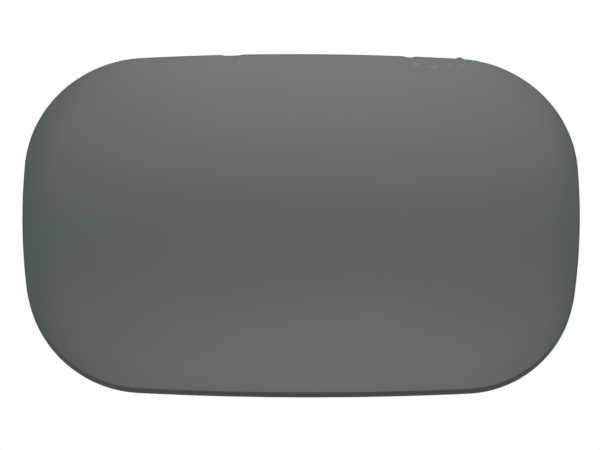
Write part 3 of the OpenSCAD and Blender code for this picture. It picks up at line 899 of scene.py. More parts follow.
def grown(
    name: str, tree: Tree, geometry: Socket, seed: bpy.types.Mesh, sizes: dict[str, float],
    finish: Finish, angle: float,
) -> Piece:
    """Ends a geometry tree, runs it on a mesh and keeps the plain result.

    Args:
        name: the piece's name.
        tree: the geometry tree.
        geometry: what the tree has made, with its instances.
        seed: the mesh that it starts from.
        sizes: values for its named sizes.
        finish: the result's finish.
        angle: edges sharper than this many degrees stay hard.

    Returns:
        The object.
    """
    real = add_node(tree, "GeometryNodeRealizeInstances", {0: geometry}).outputs[0]
    dressed = add_node(tree, "GeometryNodeSetMaterial", {"Geometry": real, "Material": finish.material()})
    add_node(tree, "NodeGroupOutput", {0: dressed.outputs[0]})
    piece = bpy.data.objects.new(name, seed)
    bpy.context.scene.collection.objects.link(piece)
    modifier = piece.modifiers.new("pattern", "NODES")
    modifier.node_group = tree
    for item in tree.interface.items_tree:
        if item.in_out == "INPUT" and item.name in sizes:
            modifier[item.identifier] = sizes[item.name]
    materials = applied(piece).data.materials
    for i in reversed(range(len(materials))):
        if materials[i] is None:
            materials.pop(index=i)
    return finished(piece, angle)


def seed_mesh(
    name: str, points: list[Vector], joined: bool = False, facing: list[Vector] | None = None,
) -> bpy.types.Mesh:
    """Makes a mesh of bare points or of a line, from which a geometry tree starts.

    Args:
        name: the mesh's name.
        points: its points, in metres.
        joined: whether they are joined to a line.
        facing: a direction for each point, where it needs one.

    Returns:
        The mesh.
    """
    edges = [(i, i + 1) for i in range(len(points) - 1)] if joined else []
    mesh = bpy.data.meshes.new(name)
    mesh.from_pydata(points, edges, [])
    if facing:
        stored = mesh.attributes.new(FACING, "FLOAT_VECTOR", "POINT")
        stored.data.foreach_set("vector", [c for n in facing for c in n])
    return mesh


def placed(piece: Piece, body: Body | None, slot: Slot, *nodes: str) -> Piece:
    """Attaches a piece to its body, hides the nodes that it stands for, and reports it with its material
    slot.

    Args:
        piece: the piece.
        body: the body that it rides on, or none where it rides on no body.
        slot: its material slot.
        nodes: the nodes, or none where it stands for no node.

    Returns:
        The same piece.
    """
    if body:
        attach(piece, body.value)
    if nodes:
        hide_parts(*nodes)
    LOG.info("%s: %d faces in %s", piece.name, len(piece.data.polygons), slot.value)
    return piece


@dataclass(frozen=True)
class EdgeMark:
    """A small knock in the door's upper edge.

    Args:
        x: place of its middle along the door.
        half: half its length.
        depth: how far the edge is pushed down, negative where a burr stands up.
        flatness: power that keeps its floor flat and its ends steep.
    """

    x: float
    half: float
    depth: float
    flatness: int = 6

    def drop(self, x: float) -> float:
        """How far the edge is down at a place along the door."""
        away = abs(x - self.x) / self.half
        return self.depth * (1 - away ** self.flatness) if away < 1 else 0.0


@dataclass
class Pressings:
    """The outer skin and the inner panel: two nested sheet pressings that share their edge.

    A station is a ring's inset from the door's edge, or FIELD plus its inset from the raised field's foot.

    Args:
        frame: the model's places.
        skin_finish: primer of the outer skin.
        panel_finish: primer of the inner panel.
    """

    frame: Frame
    skin_finish: Primer
    panel_finish: Primer
    # The outline and the double crown
    width: float = 200.0
    height: float = 126.3
    corners: tuple[float, float, float, float] = (44.5, 43.8, 42.8, 40.4)
    crown_tall: float = 700.0
    crown_wide: float = 3000.0
    # The outer skin: its sheet, its bend, its skirt, and the depth from which the satin layer is missing and
    # the skirt carries painted shade
    skin_t: float = 0.8
    skin_bend: float = 0.6
    inside_bend: float = 0.2
    bare_from: float = 0.4
    skirt_depth: float = 6.0
    cut_edge: float = 0.12
    face_inset: float = 12.0
    # The knocks in its upper edge, and how far down and back they reach
    marks: tuple[EdgeMark, ...] = (
        EdgeMark(-25.4, 3.7, 0.36), EdgeMark(39.0, 2.3, 0.36), EdgeMark(57.3, 1.2, -0.66),
    )
    mark_reach: float = 1.6
    mark_depth: float = 4.0
    # The inner panel: its sheet, its flange and the valley behind it
    panel_t: float = 0.8
    nest_gap: float = 0.15
    flange_step: float = 1.2
    valley_bend: float = 2.0
    # The raised field and its wall
    deck_depth: float = 9.0
    free_margin: float = 15.0
    hinge_margin: float = 34.0
    long_margin: float = 16.0
    field_corner: float = 27.0
    wall_run: float = 3.5
    field_bend: float = 2.0
    deck_rim: float = 3.5
    # The beads: their lines, their section, and the fillet and fullness of that section
    bead_z: float = 29.0
    bead_r: float = 5.0
    bead_rise: float = 1.8
    bead_fillet: float = 0.9
    bead_fullness: float = 0.9
    bead_ends: Point2 = (-46.0, 52.5)
    # The drain holes beside the beads
    drain_r: float = 2.5
    drain_x: float = 30.0
    drain_gap: float = 9.0
    drill: float = 6.0
    # The weld marks on the flange
    weld_pitch: float = 21.0
    weld_inset: float = 1.9
    weld_r: float = 1.35
    weld_rise: float = 0.12
    edge: RoundedEdge = field(init=False)
    field_edge: RoundedEdge = field(init=False)

    # Where the field's stations start, the angle from which edges stay hard, and a depth that counts as none
    FIELD = 100.0
    HARD = 50.0
    SAME = 0.01

    def __post_init__(self) -> None:
        """Works out the two closed edges."""
        self.edge = RoundedEdge(self.width, self.height, self.corners)
        self.field_edge = RoundedEdge(
            self.width - self.free_margin - self.hinge_margin, self.height - 2 * self.long_margin,
            (self.field_corner,) * 4, shift=(self.free_margin - self.hinge_margin) / 2,
        )

    def crown(self, x: float, z: float) -> float:
        """Depth that the double crown adds at a point of the door."""
        return x * x / (2 * self.crown_wide) + z * z / (2 * self.crown_tall)

    def ring(self, station: float, depth: float, share: float, scale: float = 1.0) -> list[Vector]:
        """Makes one ring of a sheet.

        Args:
            station: the ring's station.
            depth: depth without the crown.
            share: share of the crown that is added.
            scale: how far the ring is drawn to the middle.

        Returns:
            Its points, in the door's own frame.
        """
        if station < self.FIELD / 2:
            outline, shift = self.edge.points(station), 0.0
        else:
            outline, shift = self.field_edge.points(station - self.FIELD), self.field_edge.shift
        ring = [(shift + (x - shift) * scale, z * scale) for x, z in outline]
        return [Vector((x, depth + share * self.crown(x, z), z)) for x, z in ring]

    def solid(self, name: str, rings: list[list[Vector]], poles: list[Point3], finish: Finish) -> Piece:
        """Closes rings to a solid.

        Args:
            name: the piece's name.
            rings: the rings, in the door's own frame.
            poles: the points before and after them.
            finish: its finish.

        Returns:
            The piece.
        """
        points = [poles[0], *(p for ring in rings for p in ring), poles[1]]
        faces = ring_faces(len(rings), len(rings[0]))
        return mesh_object(name, [self.frame.metres(p) for p in points], faces, finish, self.HARD)

    def skin(self) -> Piece:
        """Makes the outer skin, with the knocks that the photographed one has in its upper edge.

        Returns:
            The skin, with its skirt marked by an attribute.
        """
        inner, t, end, cut = self.face_inset, self.skin_t, self.skirt_depth, self.cut_edge
        front = rounded([(inner, 0, 1), (0, 0, 1), (0, end - cut, 1)], [0, self.skin_bend, 0], 8)
        rear = rounded([(inner, t, 1), (t, t, 1), (t, end - cut, 1)], [0, self.inside_bend, 0], 4)
        section = front + [(cut, end, 1), (t - cut, end, 1)] + rear[::-1]
        shares = evenly(0.04, 1, 24)[:-1]
        rings = [self.ring(inner, 0, 1, s) for s in shares]
        rings += [self.ring(*p) for p in section]
        rings += [self.ring(inner, t, 1, s) for s in reversed(shares)]
        for ring in rings:
            for p in ring:
                self.knock(p)
        skin = self.solid("skin_pressing", rings, [(0, 0, 0), (0, t, 0)], self.skin_finish)
        # The mark takes off the satin layer and lays painted shade on the downward-facing skirt
        marked = skin.data.attributes.new(SKIRT, "FLOAT", "POINT")
        for v, mark in zip(skin.data.vertices, marked.data):
            x, depth, z = (v.co - self.frame.origin) / MM
            mark.value = float(depth - self.crown(x, z) > self.bare_from)
        return skin

    def knock(self, p: Vector) -> None:
        """Moves a point by the knocks near it.

        Args:
            p: the point, which is changed where it is on the upper edge.
        """
        rim = self.height / 2 - p.x * p.x / (2 * self.edge.long_bow)
        near = 1 - (rim - p.z) / self.mark_reach
        if near <= 0 or p.z < 0 or p.y > self.mark_depth:
            return
        for mark in self.marks:
            p.z -= min(near, 1.0) * mark.drop(p.x)

    def bead(self, x: float, z: float) -> float:
        """Height of the stiffening beads over the field.

        Args:
            x: place along the door.
            z: place up the door.

        Returns:
            The height, 0 beside the beads.
        """
        start, end = self.bead_ends
        across = abs(abs(z) - self.bead_z)
        away = math.hypot(max(start - x, 0, x - end), across)
        if away > self.bead_r:
            return 0.0
        base = math.sqrt(self.bead_r ** 2 - (self.bead_r - self.bead_rise) ** 2)
        t = min(away / (base + self.bead_fillet), 1.0)
        return self.bead_rise * (1 - t * t) ** 2 * (1 + self.bead_fullness * t * t)

    def panel(self) -> Piece:
        """Makes the inner panel, with its raised field, beads and drain holes.

        Returns:
            The panel.
        """
        front = self.skin_t + self.nest_gap
        deck_rear, shift = self.deck_depth, self.field_edge.shift
        deck_front = deck_rear - self.panel_t
        top = self.FIELD + self.wall_run
        inner = top + self.deck_rim
        path = rounded(
            [
                (inner, deck_front, 0), (top, deck_front, 0), (self.FIELD, front, 1),
                (front, front, 1), (front, self.skirt_depth - self.flange_step, 1),
            ],
            [0, self.field_bend, self.field_bend, self.valley_bend, 0], 7,
        )
        # The rear face is seen, so its rings lie close together where the beads rise
        fine = evenly(0, 11 / 24, 11)[1:] + evenly(0.48, 0.92, 74) + evenly(0.94, 0.98, 2)
        rings = [self.ring(inner, deck_front, 0, s) for s in evenly(0, 1, 37)[1:-1]]
        rings += [self.ring(*p) for p in sheet_section(path, self.panel_t)]
        rings += [self.ring(inner, deck_rear, 0, s) for s in reversed(fine)]
        for ring in rings:
            for p in ring:
                if p.y > deck_front - self.SAME:
                    p.y += self.bead(p.x, p.z)
        poles = [(shift, deck_front, 0), (shift, deck_rear, 0)]
        return self.drilled(self.solid("panel_pressing", rings, poles, self.panel_finish))

    def drilled(self, panel: Piece) -> Piece:
        """Cuts the drain holes.

        Args:
            panel: the panel without them.

        Returns:
            The same panel.
        """
        build = bmesh.new()
        x, z, radius = self.drain_x, self.bead_z + self.drain_gap, self.drain_r * MM
        for place in ((-x, -z), (-x, z), (x, -z), (x, z)):
            centre = self.frame.metres((place[0], self.deck_depth, place[1]))
            bmesh.ops.create_cone(
                build, cap_ends=True, segments=40, radius1=radius, radius2=radius, depth=self.drill * MM,
                matrix=Matrix.Translation(centre) @ Matrix.Rotation(math.pi / 2, 4, "X"),
            )
        drills = bpy.data.meshes.new("drills")
        build.to_mesh(drills)
        build.free()
        cutter = bpy.data.objects.new("drills", drills)
        bpy.context.scene.collection.objects.link(cutter)
        cut = panel.modifiers.new("drains", "BOOLEAN")
        cut.object = cutter
        cut.operation = "DIFFERENCE"
        cut.solver = "EXACT"
        finished(applied(panel), self.HARD)
        bpy.data.objects.remove(cutter)
        return panel

    def weld_places(self) -> tuple[list[Vector], list[Vector]]:
        """Spreads the weld marks along the flange, where the panel is joined to the skirt.

        Returns:
            Their places in metres, and the direction that each one faces.
        """
        depth = self.skirt_depth - self.flange_step - self.weld_inset
        inset = self.skin_t + self.nest_gap + self.panel_t
        ring, inner = self.ring(inset, depth, 1), self.ring(inset + 1, depth, 1)
        line = ring + ring[:1]
        gaps = [(b - a).length for a, b in zip(line, line[1:])]
        count = round(sum(gaps) / self.weld_pitch)
        pitch = sum(gaps) / count
        spots, facing, walked, due = [], [], 0.0, pitch / 2
        for a, b, c, gap in zip(line, line[1:], inner, gaps):
            while walked + gap >= due and len(spots) < count:
                spots.append(self.frame.metres(a.lerp(b, (due - walked) / gap)))
                facing.append((c - a).normalized())
                due += pitch
            walked += gap
        return spots, facing

    def welds(self) -> Piece:
        """Makes the resistance weld marks: low discs with a dished middle.

        Returns:
            One piece with all of them.
        """
        name = "flange_welds"
        tree, entry = new_tree(name, "Radius", "Rise")
        sizes = entry.outputs
        rim, dish = (
            add_node(tree, "ShaderNodeMath", {0: sizes["Radius"], 1: share}, operation="MULTIPLY").outputs[0]
            for share in (0.72, 0.62)
        )
        disc = add_node(tree, "GeometryNodeMeshCone", {
            "Vertices": 20, "Side Segments": 1, "Radius Bottom": sizes["Radius"], "Radius Top": rim,
            "Depth": sizes["Rise"],
        })
        ball = add_node(tree, "GeometryNodeMeshUVSphere", {"Segments": 20, "Rings": 8, "Radius": dish})
        flat = add_node(tree, "GeometryNodeTransform", {
            "Geometry": ball.outputs["Mesh"], "Scale": (1.0, 1.0, 0.22)})
        mark = add_node(tree, "GeometryNodeJoinGeometry", {0: disc.outputs["Mesh"]})
        feed(tree, mark, {0: flat.outputs[0]})
        way = add_node(tree, "GeometryNodeInputNamedAttribute", {"Name": FACING}, data_type="FLOAT_VECTOR")
        turn = add_node(
            tree, "FunctionNodeAlignEulerToVector", {"Vector": way.outputs["Attribute"]}, axis="Z")
        marks = add_node(tree, "GeometryNodeInstanceOnPoints", {
            "Points": entry.outputs["Geometry"], "Instance": mark.outputs[0], "Rotation": turn.outputs[0],
        })
        spots, facing = self.weld_places()
        values = {"Radius": self.weld_r * MM, "Rise": self.weld_rise * MM}
        seed = seed_mesh(name, spots, facing=facing)
        return grown(name, tree, marks.outputs[0], seed, values, self.panel_finish, angle=30)

    def build(self) -> None:
        """Makes both pressings and their weld marks."""
        placed(self.skin(), Body.DOOR, Slot.SKIN, "outer_skin")
        placed(self.panel(), Body.DOOR, Slot.PANEL, "inner_panel")
        placed(self.welds(), Body.DOOR, Slot.PANEL)


@dataclass
class Rivets:
    """A set of domed rivets of one size, made on their points by one geometry tree.

    Args:
        frame: the model's places.
        name: the set's name.
        node: the CAD node that it stands for.
        places: each rivet's place, as x and z.
        front: depth of the face under the set head.
        rear: depth of the face under the dome.
    """

    frame: Frame
    name: str
    node: str
    places: tuple[Point2, ...]
    front: float
    rear: float
    # The dome with the edge of its rim, the set head with its fillet, and the shank
    head_r: float = 4.2
    head_h: float = 1.9
    rim: Point2 = (0.05, 0.12)
    set_r: float = 3.6
    set_h: float = 1.3
    set_fillet: float = 0.4
    shank_r: float = 2.4

    def profile(self) -> list[Point2]:
        """Section of one rivet.

        Returns:
            Radius against depth, from the set head to the crest of the dome.
        """
        low, flat_r = self.front - self.set_h, self.set_r - self.set_fillet
        points = [(0, low), (flat_r, low)]
        points += Arc((flat_r, low + self.set_fillet), self.set_fillet, 270, 360, 3).points()
        points += [(self.set_r, self.front), (self.shank_r, self.front), (self.shank_r, self.rear)]
        points += [(self.head_r - self.rim[0], self.rear), (self.head_r, self.rear + self.rim[1])]
        return points + dome(self.head_r, self.head_h, self.rear, cut=0.25)

    def build(self, finish: Finish, body: Body, slot: Slot) -> None:
        """Makes the set.

        Args:
            finish: its finish.
            body: the body that it rides on.
            slot: its material slot.
        """
        model = turned(self.name + "_model", self.profile(), Vector(), Axis.INWARDS, finish, steps=40)
        tree, entry = new_tree(self.name, "Scale")
        info = add_node(tree, "GeometryNodeObjectInfo", {"Object": model})
        scale = add_node(tree, "ShaderNodeCombineXYZ", {i: entry.outputs["Scale"] for i in range(3)})
        copies = add_node(tree, "GeometryNodeInstanceOnPoints", {
            "Points": entry.outputs["Geometry"], "Instance": info.outputs["Geometry"],
            "Scale": scale.outputs[0],
        })
        seed = seed_mesh(self.name, [self.frame.metres((x, 0, z)) for x, z in self.places])
        piece = grown(self.name, tree, copies.outputs[0], seed, {"Scale": 1.0}, finish, angle=35)
        bpy.data.objects.remove(model)
        placed(piece, body, slot, self.node)


@dataclass
class Hinge:
    """The hidden hinge: arm, doubler, bracket, pin, clip, bushes, sleeve and closing spring.

    Places are in millimetres from the pin's axis.
    """

    frame: Frame
    primer: Primer
    zinc: ZincPlate
    steel: OiledSteel
    nylon: Moulded
    # The pin, its groove for the clip and its tail
    pin_r: float = 3.0
    pin_head_r: float = 5.0
    pin_head_h: float = 2.2
    pin_top: float = 23.4
    groove_r: float = 2.4
    clip_t: float = 0.8
    pin_tail: float = 2.6
    tail_chamfer: float = 0.8
    # The bushes in the arm's two eyes, and the sleeve between them
    cheek_z: float = 20.0
    arm_t: float = 2.0
    bush_r: float = 4.0
    bush_past: float = 1.0
    flange_r: float = 5.9
    flange_t: float = 0.8
    bush_chamfer: float = 0.2
    sleeve_t: float = 0.8
    fit: float = 0.05
    play: float = 0.1
    edge_break: float = 0.15
    # The spring's wire and coil, and the ends of its two legs
    wire_r: float = 0.8
    coil_r: float = 5.0
    coil_l: float = 18.0
    coil_turns: int = 9
    end_turns: float = 2.06
    fixed_tip: Point2 = (-3.15, 15.5)
    moving_tip: Point2 = (-16.0, -3.85)
    # The arm's rivets, from the door's middle
    rivet_x: Point2 = (30.0, 50.0)
    rivet_z: float = 9.0
    rivet_faces: Point2 = (7.0, 11.0)

    def pin(self) -> Piece:
        """Makes the headed pin, with its groove and chamfered tail.

        Returns:
            The pin.
        """
        r, step, rim = self.pin_r, self.play, self.edge_break
        groove = -self.pin_top - step
        low = groove - self.clip_t - step
        tail = groove - self.clip_t - self.pin_tail
        profile = [(0, tail), (r - self.tail_chamfer, tail), (r, tail + self.tail_chamfer), (r, low - step)]
        profile += [(r - step, low), (self.groove_r, low), (self.groove_r, groove)]
        profile += [(r - step, groove), (r, groove + step), (r, self.pin_top)]
        profile += [(self.pin_head_r - rim, self.pin_top), (self.pin_head_r, self.pin_top + rim)]
        profile += dome(self.pin_head_r, self.pin_head_h, self.pin_top, cut=0.2)
        return turned("pin_turned", profile, self.frame.pin, Axis.UP, self.zinc)

    def bush(self, name: str, up: int) -> Piece:
        """One flanged bush.

        Args:
            name: its name.
            up: 1 for the upper one, -1 for the lower one.

        Returns:
            The bush.
        """
        bore, cut = self.pin_r + self.fit, self.bush_chamfer
        low, seat = self.cheek_z - self.arm_t - self.bush_past, self.cheek_z
        top = seat + self.flange_t
        profile = [(bore, low), (self.bush_r - cut, low), (self.bush_r, low + cut), (self.bush_r, seat)]
        profile += [(self.flange_r, seat), (self.flange_r, top - cut), (self.flange_r - cut, top)]
        profile += [(bore + cut, top), (bore, top - cut)]
        return turned(name, [(r, up * z) for r, z in profile], self.frame.pin, Axis.UP, self.nylon)

    def sleeve(self) -> Piece:
        """Makes the thin sleeve on the pin, inside the spring's coil.

        Returns:
            The sleeve.
        """
        end, cut = self.cheek_z - self.arm_t - self.bush_past - self.play, self.edge_break
        inner = self.pin_r + self.play
        outer = inner + self.sleeve_t
        profile = [(inner, -end), (outer - cut, -end), (outer, cut - end), (outer, end - cut)]
        profile += [(outer - cut, end), (inner, end)]
        return turned("sleeve_turned", profile, self.frame.pin, Axis.UP, self.nylon)

    def leg(self, tip: Point2) -> tuple[float, float]:
        """Heading of a leg's tip, and the angle from it to where the leg leaves the coil."""
        return heading(Vector(tip)), math.degrees(math.acos(self.coil_r / math.hypot(*tip)))

    def spring_line(self) -> list[Vector]:
        """The line of the wire: the fixed leg, the coil and the moving leg.

        Returns:
            Its points, in metres.
        """
        (fixed, spread), (moving, spread_out) = self.leg(self.fixed_tip), self.leg(self.moving_tip)
        start = fixed - spread
        sweep = start + 360 * self.coil_turns - (moving + spread_out)
        steps = math.ceil(sweep / 360 * 40)
        half = self.coil_l / 2
        line = [(*self.fixed_tip, -half)]
        for i, angle in enumerate(evenly(start, start - sweep, steps)):
            turn = math.radians(angle)
            rise = half * max(-1.0, min(1.0, self.end_turns * (i / steps - 0.5)))
            line.append((self.coil_r * math.cos(turn), self.coil_r * math.sin(turn), rise))
        line.append((*self.moving_tip, half))
        return [self.frame.at_pin(p) for p in line]

    def spring(self) -> Piece:
        """Makes the closing spring, a round wire drawn along its line by a geometry tree.

        Returns:
            The spring.
        """
        name, size = "spring_wound", {"Radius": self.wire_r * MM}
        tree, entry = new_tree("wire", "Radius")
        path = add_node(tree, "GeometryNodeMeshToCurve", {0: entry.outputs["Geometry"]})
        ring = add_node(tree, "GeometryNodeCurvePrimitiveCircle", {
            "Resolution": 18, "Radius": entry.outputs["Radius"]})
        wire = add_node(tree, "GeometryNodeCurveToMesh", {
            "Curve": path.outputs[0], "Profile Curve": ring.outputs["Curve"], "Fill Caps": True})
        seed = seed_mesh(name, self.spring_line(), joined=True)
        return grown(name, tree, wire.outputs[0], seed, size, self.steel, angle=50)

    def build(self) -> None:
        """Makes every piece of the hinge."""
        for node, name, radius, finish, body, slot in (
            ("hinge_arm", "arm_pressing", 0.35, self.primer, Body.DOOR, Slot.HINGE),
            ("hinge_doubler", "doubler_plate", 0.2, self.primer, Body.DOOR, Slot.HINGE),
            ("hinge_bracket", "bracket_pressing", 0.4, self.zinc, Body.MOUNT, Slot.ZINC),
            ("pin_clip", "clip_stamping", 0.12, self.steel, Body.MOUNT, Slot.SPRING),
        ):
            placed(softened(node, name, radius, finish), body, slot, node)
        placed(self.pin(), Body.MOUNT, Slot.ZINC, "hinge_pin")
        placed(self.bush("upper_bush_turned", 1), Body.DOOR, Slot.NYLON, "upper_bush")
        placed(self.bush("lower_bush_turned", -1), Body.DOOR, Slot.NYLON, "lower_bush")
        placed(self.sleeve(), Body.MOUNT, Slot.NYLON, "spring_sleeve")
        places = tuple((x, s * self.rivet_z) for x in self.rivet_x for s in (-1, 1))
        rivets = Rivets(self.frame, "arm_rivet_set", "arm_rivets", places, *self.rivet_faces)
        rivets.build(self.primer, Body.DOOR, Slot.HINGE)
        spring = placed(self.spring(), None, Slot.SPRING, "closing_spring")
        end = self.coil_l / 2 - self.wire_r
        self.frame.at_pin((0, 0, -end))
        self.frame.at_pin((0, 0, end))
        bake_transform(spring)


@dataclass
class Fittings:
    """The lock tongue, the two rubber buffers and the cap rest on the raised field."""

    frame: Frame
    zinc: ZincPlate
    rubber: Moulded
    plastic: Moulded
    deck: float = 9.0
    sheet_t: float = 0.8
    # The buffers: body, foot, rolled rim, the neck in the sheet's hole and the bulb in front of it
    buffer_x: float = -62.0
    buffer_z: float = 29.0
    buffer_r: float = 6.0
    buffer_h: float = 6.0
    foot: Point2 = (0.2, 0.3)
    taper: float = 0.35
    rim_r: float = 1.7
    rim_drop: float = 2.1
    neck_r: float = 3.0
    bulb_r: float = 4.2
    bulb_h: float = 3.0
    # What the bulb's shoulder loses in radius, and its depth in front of the sheet
    shoulder: tuple[Point2, Point2] = ((0.15, 0.25), (0.05, 0.05))
    # Radius and depth under the crown, from the rim's inside to the middle of the dimple
    dimple: tuple[Point2, ...] = ((3.4, 0.3), (1.9, 0.12), (1.35, 0.2), (1.1, 0.75), (0, 0.8))
    # The tongue's sheet and rivets
    tongue_t: float = 2.0
    tongue_rivets: tuple[Point2, ...] = ((-60.0, -4.8), (-60.0, 4.8))

    def buffer(self, name: str, up: int) -> Piece:
        """One rubber buffer, with a rolled rim and a dimpled crown.

        Args:
            name: its name.
            up: 1 for the upper one, -1 for the lower one.

        Returns:
            The buffer.
        """
        front, deck = self.deck - self.sheet_t, self.deck
        top, r, bulb = deck + self.buffer_h, self.buffer_r, self.bulb_r
        wall, rim = r - self.taper, top - self.rim_drop
        profile = [(0, front - self.bulb_h), (bulb / 3, front - self.bulb_h)]
        profile += [(bulb - less, front - drop) for less, drop in self.shoulder]
        profile += [(self.neck_r, front), (self.neck_r, deck), (r - self.foot[0], deck)]
        profile += [(r, deck + self.foot[1]), (wall, rim)]
        profile += Arc((wall - self.rim_r, rim), self.rim_r, 0, 78, 6).points()
        profile += [(radius, top - depth) for radius, depth in self.dimple]
        base = self.frame.metres((self.buffer_x, 0, up * self.buffer_z))
        return turned(name, profile, base, Axis.INWARDS, self.rubber, angle=42)

    def build(self) -> None:
        """Makes every fitting."""
        door = Body.DOOR
        placed(softened("lock_tongue", "tongue_pressing", 0.35, self.zinc), door, Slot.ZINC, "lock_tongue")
        placed(self.buffer("upper_buffer_moulded", 1), door, Slot.RUBBER, "upper_buffer")
        placed(self.buffer("lower_buffer_moulded", -1), door, Slot.RUBBER, "lower_buffer")
        placed(softened("cap_rest", "rest_moulding", 0.33, self.plastic), door, Slot.PLASTIC, "cap_rest")
        faces = (self.deck - self.sheet_t, self.deck + self.tongue_t)
        rivets = Rivets(self.frame, "tongue_rivet_set", "tongue_rivets", self.tongue_rivets, *faces)
        rivets.build(self.zinc, door, Slot.ZINC)


@dataclass(frozen=True)
class Lamp:
    """A soft area lamp, placed by its direction from the door's face.

    Args:
        name: its name.
        azimuth: degrees to the right of the way that the outer face looks.
        elevation: degrees above the horizon.
        distance: metres from the face.
        size: width and height in metres.
        power: watts.
    """

    name: str
    azimuth: float
    elevation: float
    distance: float
    size: Point2
    power: float

    def build(self, centre: Vector) -> None:
        """Makes the lamp.

        Args:
            centre: the point that it is turned to.
        """
        a, e = math.radians(self.azimuth), math.radians(self.elevation)
        way = Vector((math.sin(a) * math.cos(e), -math.cos(a) * math.cos(e), math.sin(e)))
        data = bpy.data.lights.new(self.name, "AREA")
        data.shape = "RECTANGLE"
        data.size, data.size_y = self.size
        data.energy = self.power
        lamp = bpy.data.objects.new(self.name, data)
        lamp.location = centre + way * self.distance
        lamp.rotation_euler = (-way).to_track_quat("-Z", "Y").to_euler()
        lamp.visible_camera = False
        bpy.context.scene.collection.objects.link(lamp)


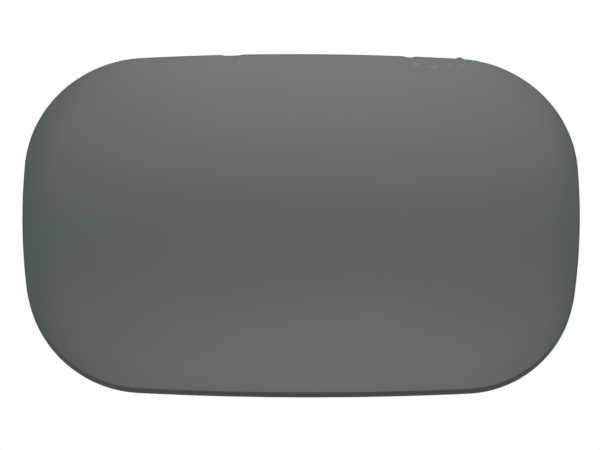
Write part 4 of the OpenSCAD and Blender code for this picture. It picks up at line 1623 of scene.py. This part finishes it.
@dataclass
class Studio:
    """The floor, the world, the lamps and the camera.

    Args:
        frame: the model's places.
    """

    frame: Frame
    # The camera: degrees upwards, metres off, lens in pixels, pixel of the face's middle, radians of roll
    tilt: float = 15.0
    distance: float = 1.5
    focal_px: float = 4190.8
    face_at: Point2 = (301.1, 219.8)
    roll: float = 0.003
    sensor: float = 36.0
    # The floor: metres down, half its width, metres over which it turns white, its glow and share of white
    floor_drop: float = 1.4
    floor_half: float = 8.0
    floor_fade: Point2 = (2.5, 7.0)
    floor_glow: Point2 = (0.95, 1.0)
    floor_white: Point2 = (0.7, 1.0)
    # The world's own light, and the lamps: the face's dark band is the gap between the first two
    fill: float = 0.19
    lamps: tuple[Lamp, ...] = (
        Lamp("upper_softbox", 1.5, 33.4, 1.6, (0.64, 0.80), 6.95),
        Lamp("lower_softbox", 1.5, 0.3, 2.3, (0.78, 0.72), 6.4),
        Lamp("overhead_softbox", 0, 66, 1.5, (1.4, 0.7), 3.5),
        Lamp("rear_softbox", 180, 35, 1.8, (1.6, 1.2), 26),
    )

    def camera(self) -> None:
        """Sets the camera below the door, where the photograph was taken from."""
        width, height = IMAGE_SIZE
        data = bpy.data.cameras.new("camera")
        data.sensor_width = self.sensor
        data.lens = self.focal_px * self.sensor / width
        data.shift_x = (width / 2 - self.face_at[0]) / width
        data.shift_y = (self.face_at[1] - height / 2) / width
        camera = bpy.data.objects.new("camera", data)
        tilt = math.radians(self.tilt)
        way = Vector((0, math.cos(tilt), math.sin(tilt)))
        camera.location = self.frame.origin - way * self.distance
        turn = way.to_track_quat("-Z", "Y").to_matrix() @ Matrix.Rotation(self.roll, 3, "Z")
        camera.rotation_euler = turn.to_euler()
        bpy.context.scene.collection.objects.link(camera)
        bpy.context.scene.camera = camera

    def seen(self, tree: Tree) -> Socket:
        """Tells the rays that see from those that light.

        Args:
            tree: the node tree.

        Returns:
            1 for rays of the camera, of reflections and through glass, and 0 for light.
        """
        path = add_node(tree, "ShaderNodeLightPath").outputs
        seen = path["Is Camera Ray"]
        for ray in ("Is Glossy Ray", "Is Transmission Ray"):
            seen = add_node(tree, "ShaderNodeMath", {0: seen, 1: path[ray]}, operation="MAXIMUM").outputs[0]
        return seen

    def world(self) -> None:
        """A white background that adds only a little light of its own."""
        world = bpy.data.worlds.new("studio")
        bpy.context.scene.world = world
        world.use_nodes = True
        tree = world.node_tree
        light, white = (
            add_node(tree, "ShaderNodeBackground", {"Color": linear(code), "Strength": strength}).outputs[0]
            for code, strength in (("#F8FCFF", self.fill), ("#FFFFFF", 1.0))
        )
        both = add_node(tree, "ShaderNodeMixShader", {0: self.seen(tree), 1: light, 2: white})
        feed(tree, tree.nodes["World Output"], {"Surface": both.outputs[0]})

    def floor(self) -> None:
        """A wide pale floor, well below the door because the camera looks up at it, white far away."""
        material = bpy.data.materials.new("pale_floor")
        material.use_nodes = True
        tree = material.node_tree
        shader = tree.nodes["Principled BSDF"]
        feed(tree, shader, {"Base Color": linear("#F4F4F2"), "Roughness": 0.9})
        place = add_node(tree, "ShaderNodeTexCoord").outputs["Object"]
        away = add_node(tree, "ShaderNodeVectorMath", {0: place}, operation="LENGTH").outputs["Value"]
        strength, far = (
            add_node(tree, "ShaderNodeMapRange", {
                "Value": away, "From Min": self.floor_fade[0], "From Max": self.floor_fade[1],
                "To Min": near_end, "To Max": far_end,
            }, interpolation_type=way).outputs[0]
            for way, (near_end, far_end) in (("LINEAR", self.floor_glow), ("SMOOTHSTEP", self.floor_white))
        )
        glow = add_node(tree, "ShaderNodeEmission", {"Color": linear("#FFFFFF"), "Strength": strength})
        share = add_node(tree, "ShaderNodeMath", {0: self.seen(tree), 1: far}, operation="MULTIPLY")
        both = add_node(tree, "ShaderNodeMixShader", {
            0: share.outputs[0], 1: shader.outputs[0], 2: glow.outputs[0]})
        feed(tree, tree.nodes["Material Output"], {"Surface": both.outputs[0]})
        half, z = self.floor_half, self.frame.origin.z - self.floor_drop
        corners = [(-half, -half, z), (half, -half, z), (half, half, z), (-half, half, z)]
        mesh = bpy.data.meshes.new("floor")
        mesh.from_pydata(corners, [], [(0, 1, 2, 3)])
        mesh.materials.append(material)
        floor = bpy.data.objects.new("floor", mesh)
        bpy.context.scene.collection.objects.link(floor)

    def build(self) -> None:
        """Makes the whole studio."""
        bpy.context.scene.view_settings.view_transform = "Standard"
        self.camera()
        self.world()
        self.floor()
        for lamp in self.lamps:
            lamp.build(self.frame.origin)


# Pale rub marks under the upper edge, as the photographed door has them
SCUFFS = (
    Scuff(41.5, 59.2, 2.6, 1.7, 0.27), Scuff(47.8, 58.1, 4.2, 1.5, 0.36), Scuff(53.7, 59.1, 2.6, 1.5, 0.20),
    Scuff(58.0, 59.1, 2.2, 2.1, 0.21), Scuff(56.2, 57.3, 1.6, 1.4, 0.13), Scuff(-22.5, 59.6, 1.1, 1.0, 0.30),
)
PANEL_PRIMER = Primer("dip_primer_on_panel", shade="#3E4A48", sheen=0.65)
PLATE_PRIMER = Primer("dip_primer_on_plate", shade="#3D4846", sheen=0.55, roughness=0.66)
ZINC = ZincPlate("clear_zinc_plate")
STEEL = OiledSteel("oiled_spring_steel")
# Natural nylon is milky and softly shiny, and a polished mould leaves only a faint wide ripple
NYLON = Moulded("natural_nylon", "#DDD8CA", "#C9C3B2", 0.42, 1.4, 0.006, 1.53)
# Black rubber is dull and hardly reflects, with the fine tooth of an eroded mould
RUBBER = Moulded("black_rubber", "#18181A", "#2C2C2D", 0.78, 0.5, 0.012, 1.52)
# Polypropylene from a grained mould has a low sheen that its 0.7 mm grain breaks up
PLASTIC = Moulded("grained_polypropylene", "#1B1C1E", "#2E2F31", 0.5, 0.7, 0.03, 1.49)


def main() -> None:
    """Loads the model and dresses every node."""
    logging.basicConfig(level=logging.INFO, format="%(name)s: %(message)s")
    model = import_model()
    frame = Frame.from_model(model)
    Studio(frame).build()
    skin = Primer("dip_primer_on_skin", bare_and_shaded_skirt=True, scuffs=SCUFFS, centre=tuple(frame.origin))
    Pressings(frame, skin, PANEL_PRIMER).build()
    Hinge(frame, PLATE_PRIMER, ZINC, STEEL, NYLON).build()
    Fittings(frame, ZINC, RUBBER, PLASTIC).build()


if __name__ == "__main__":
    main()
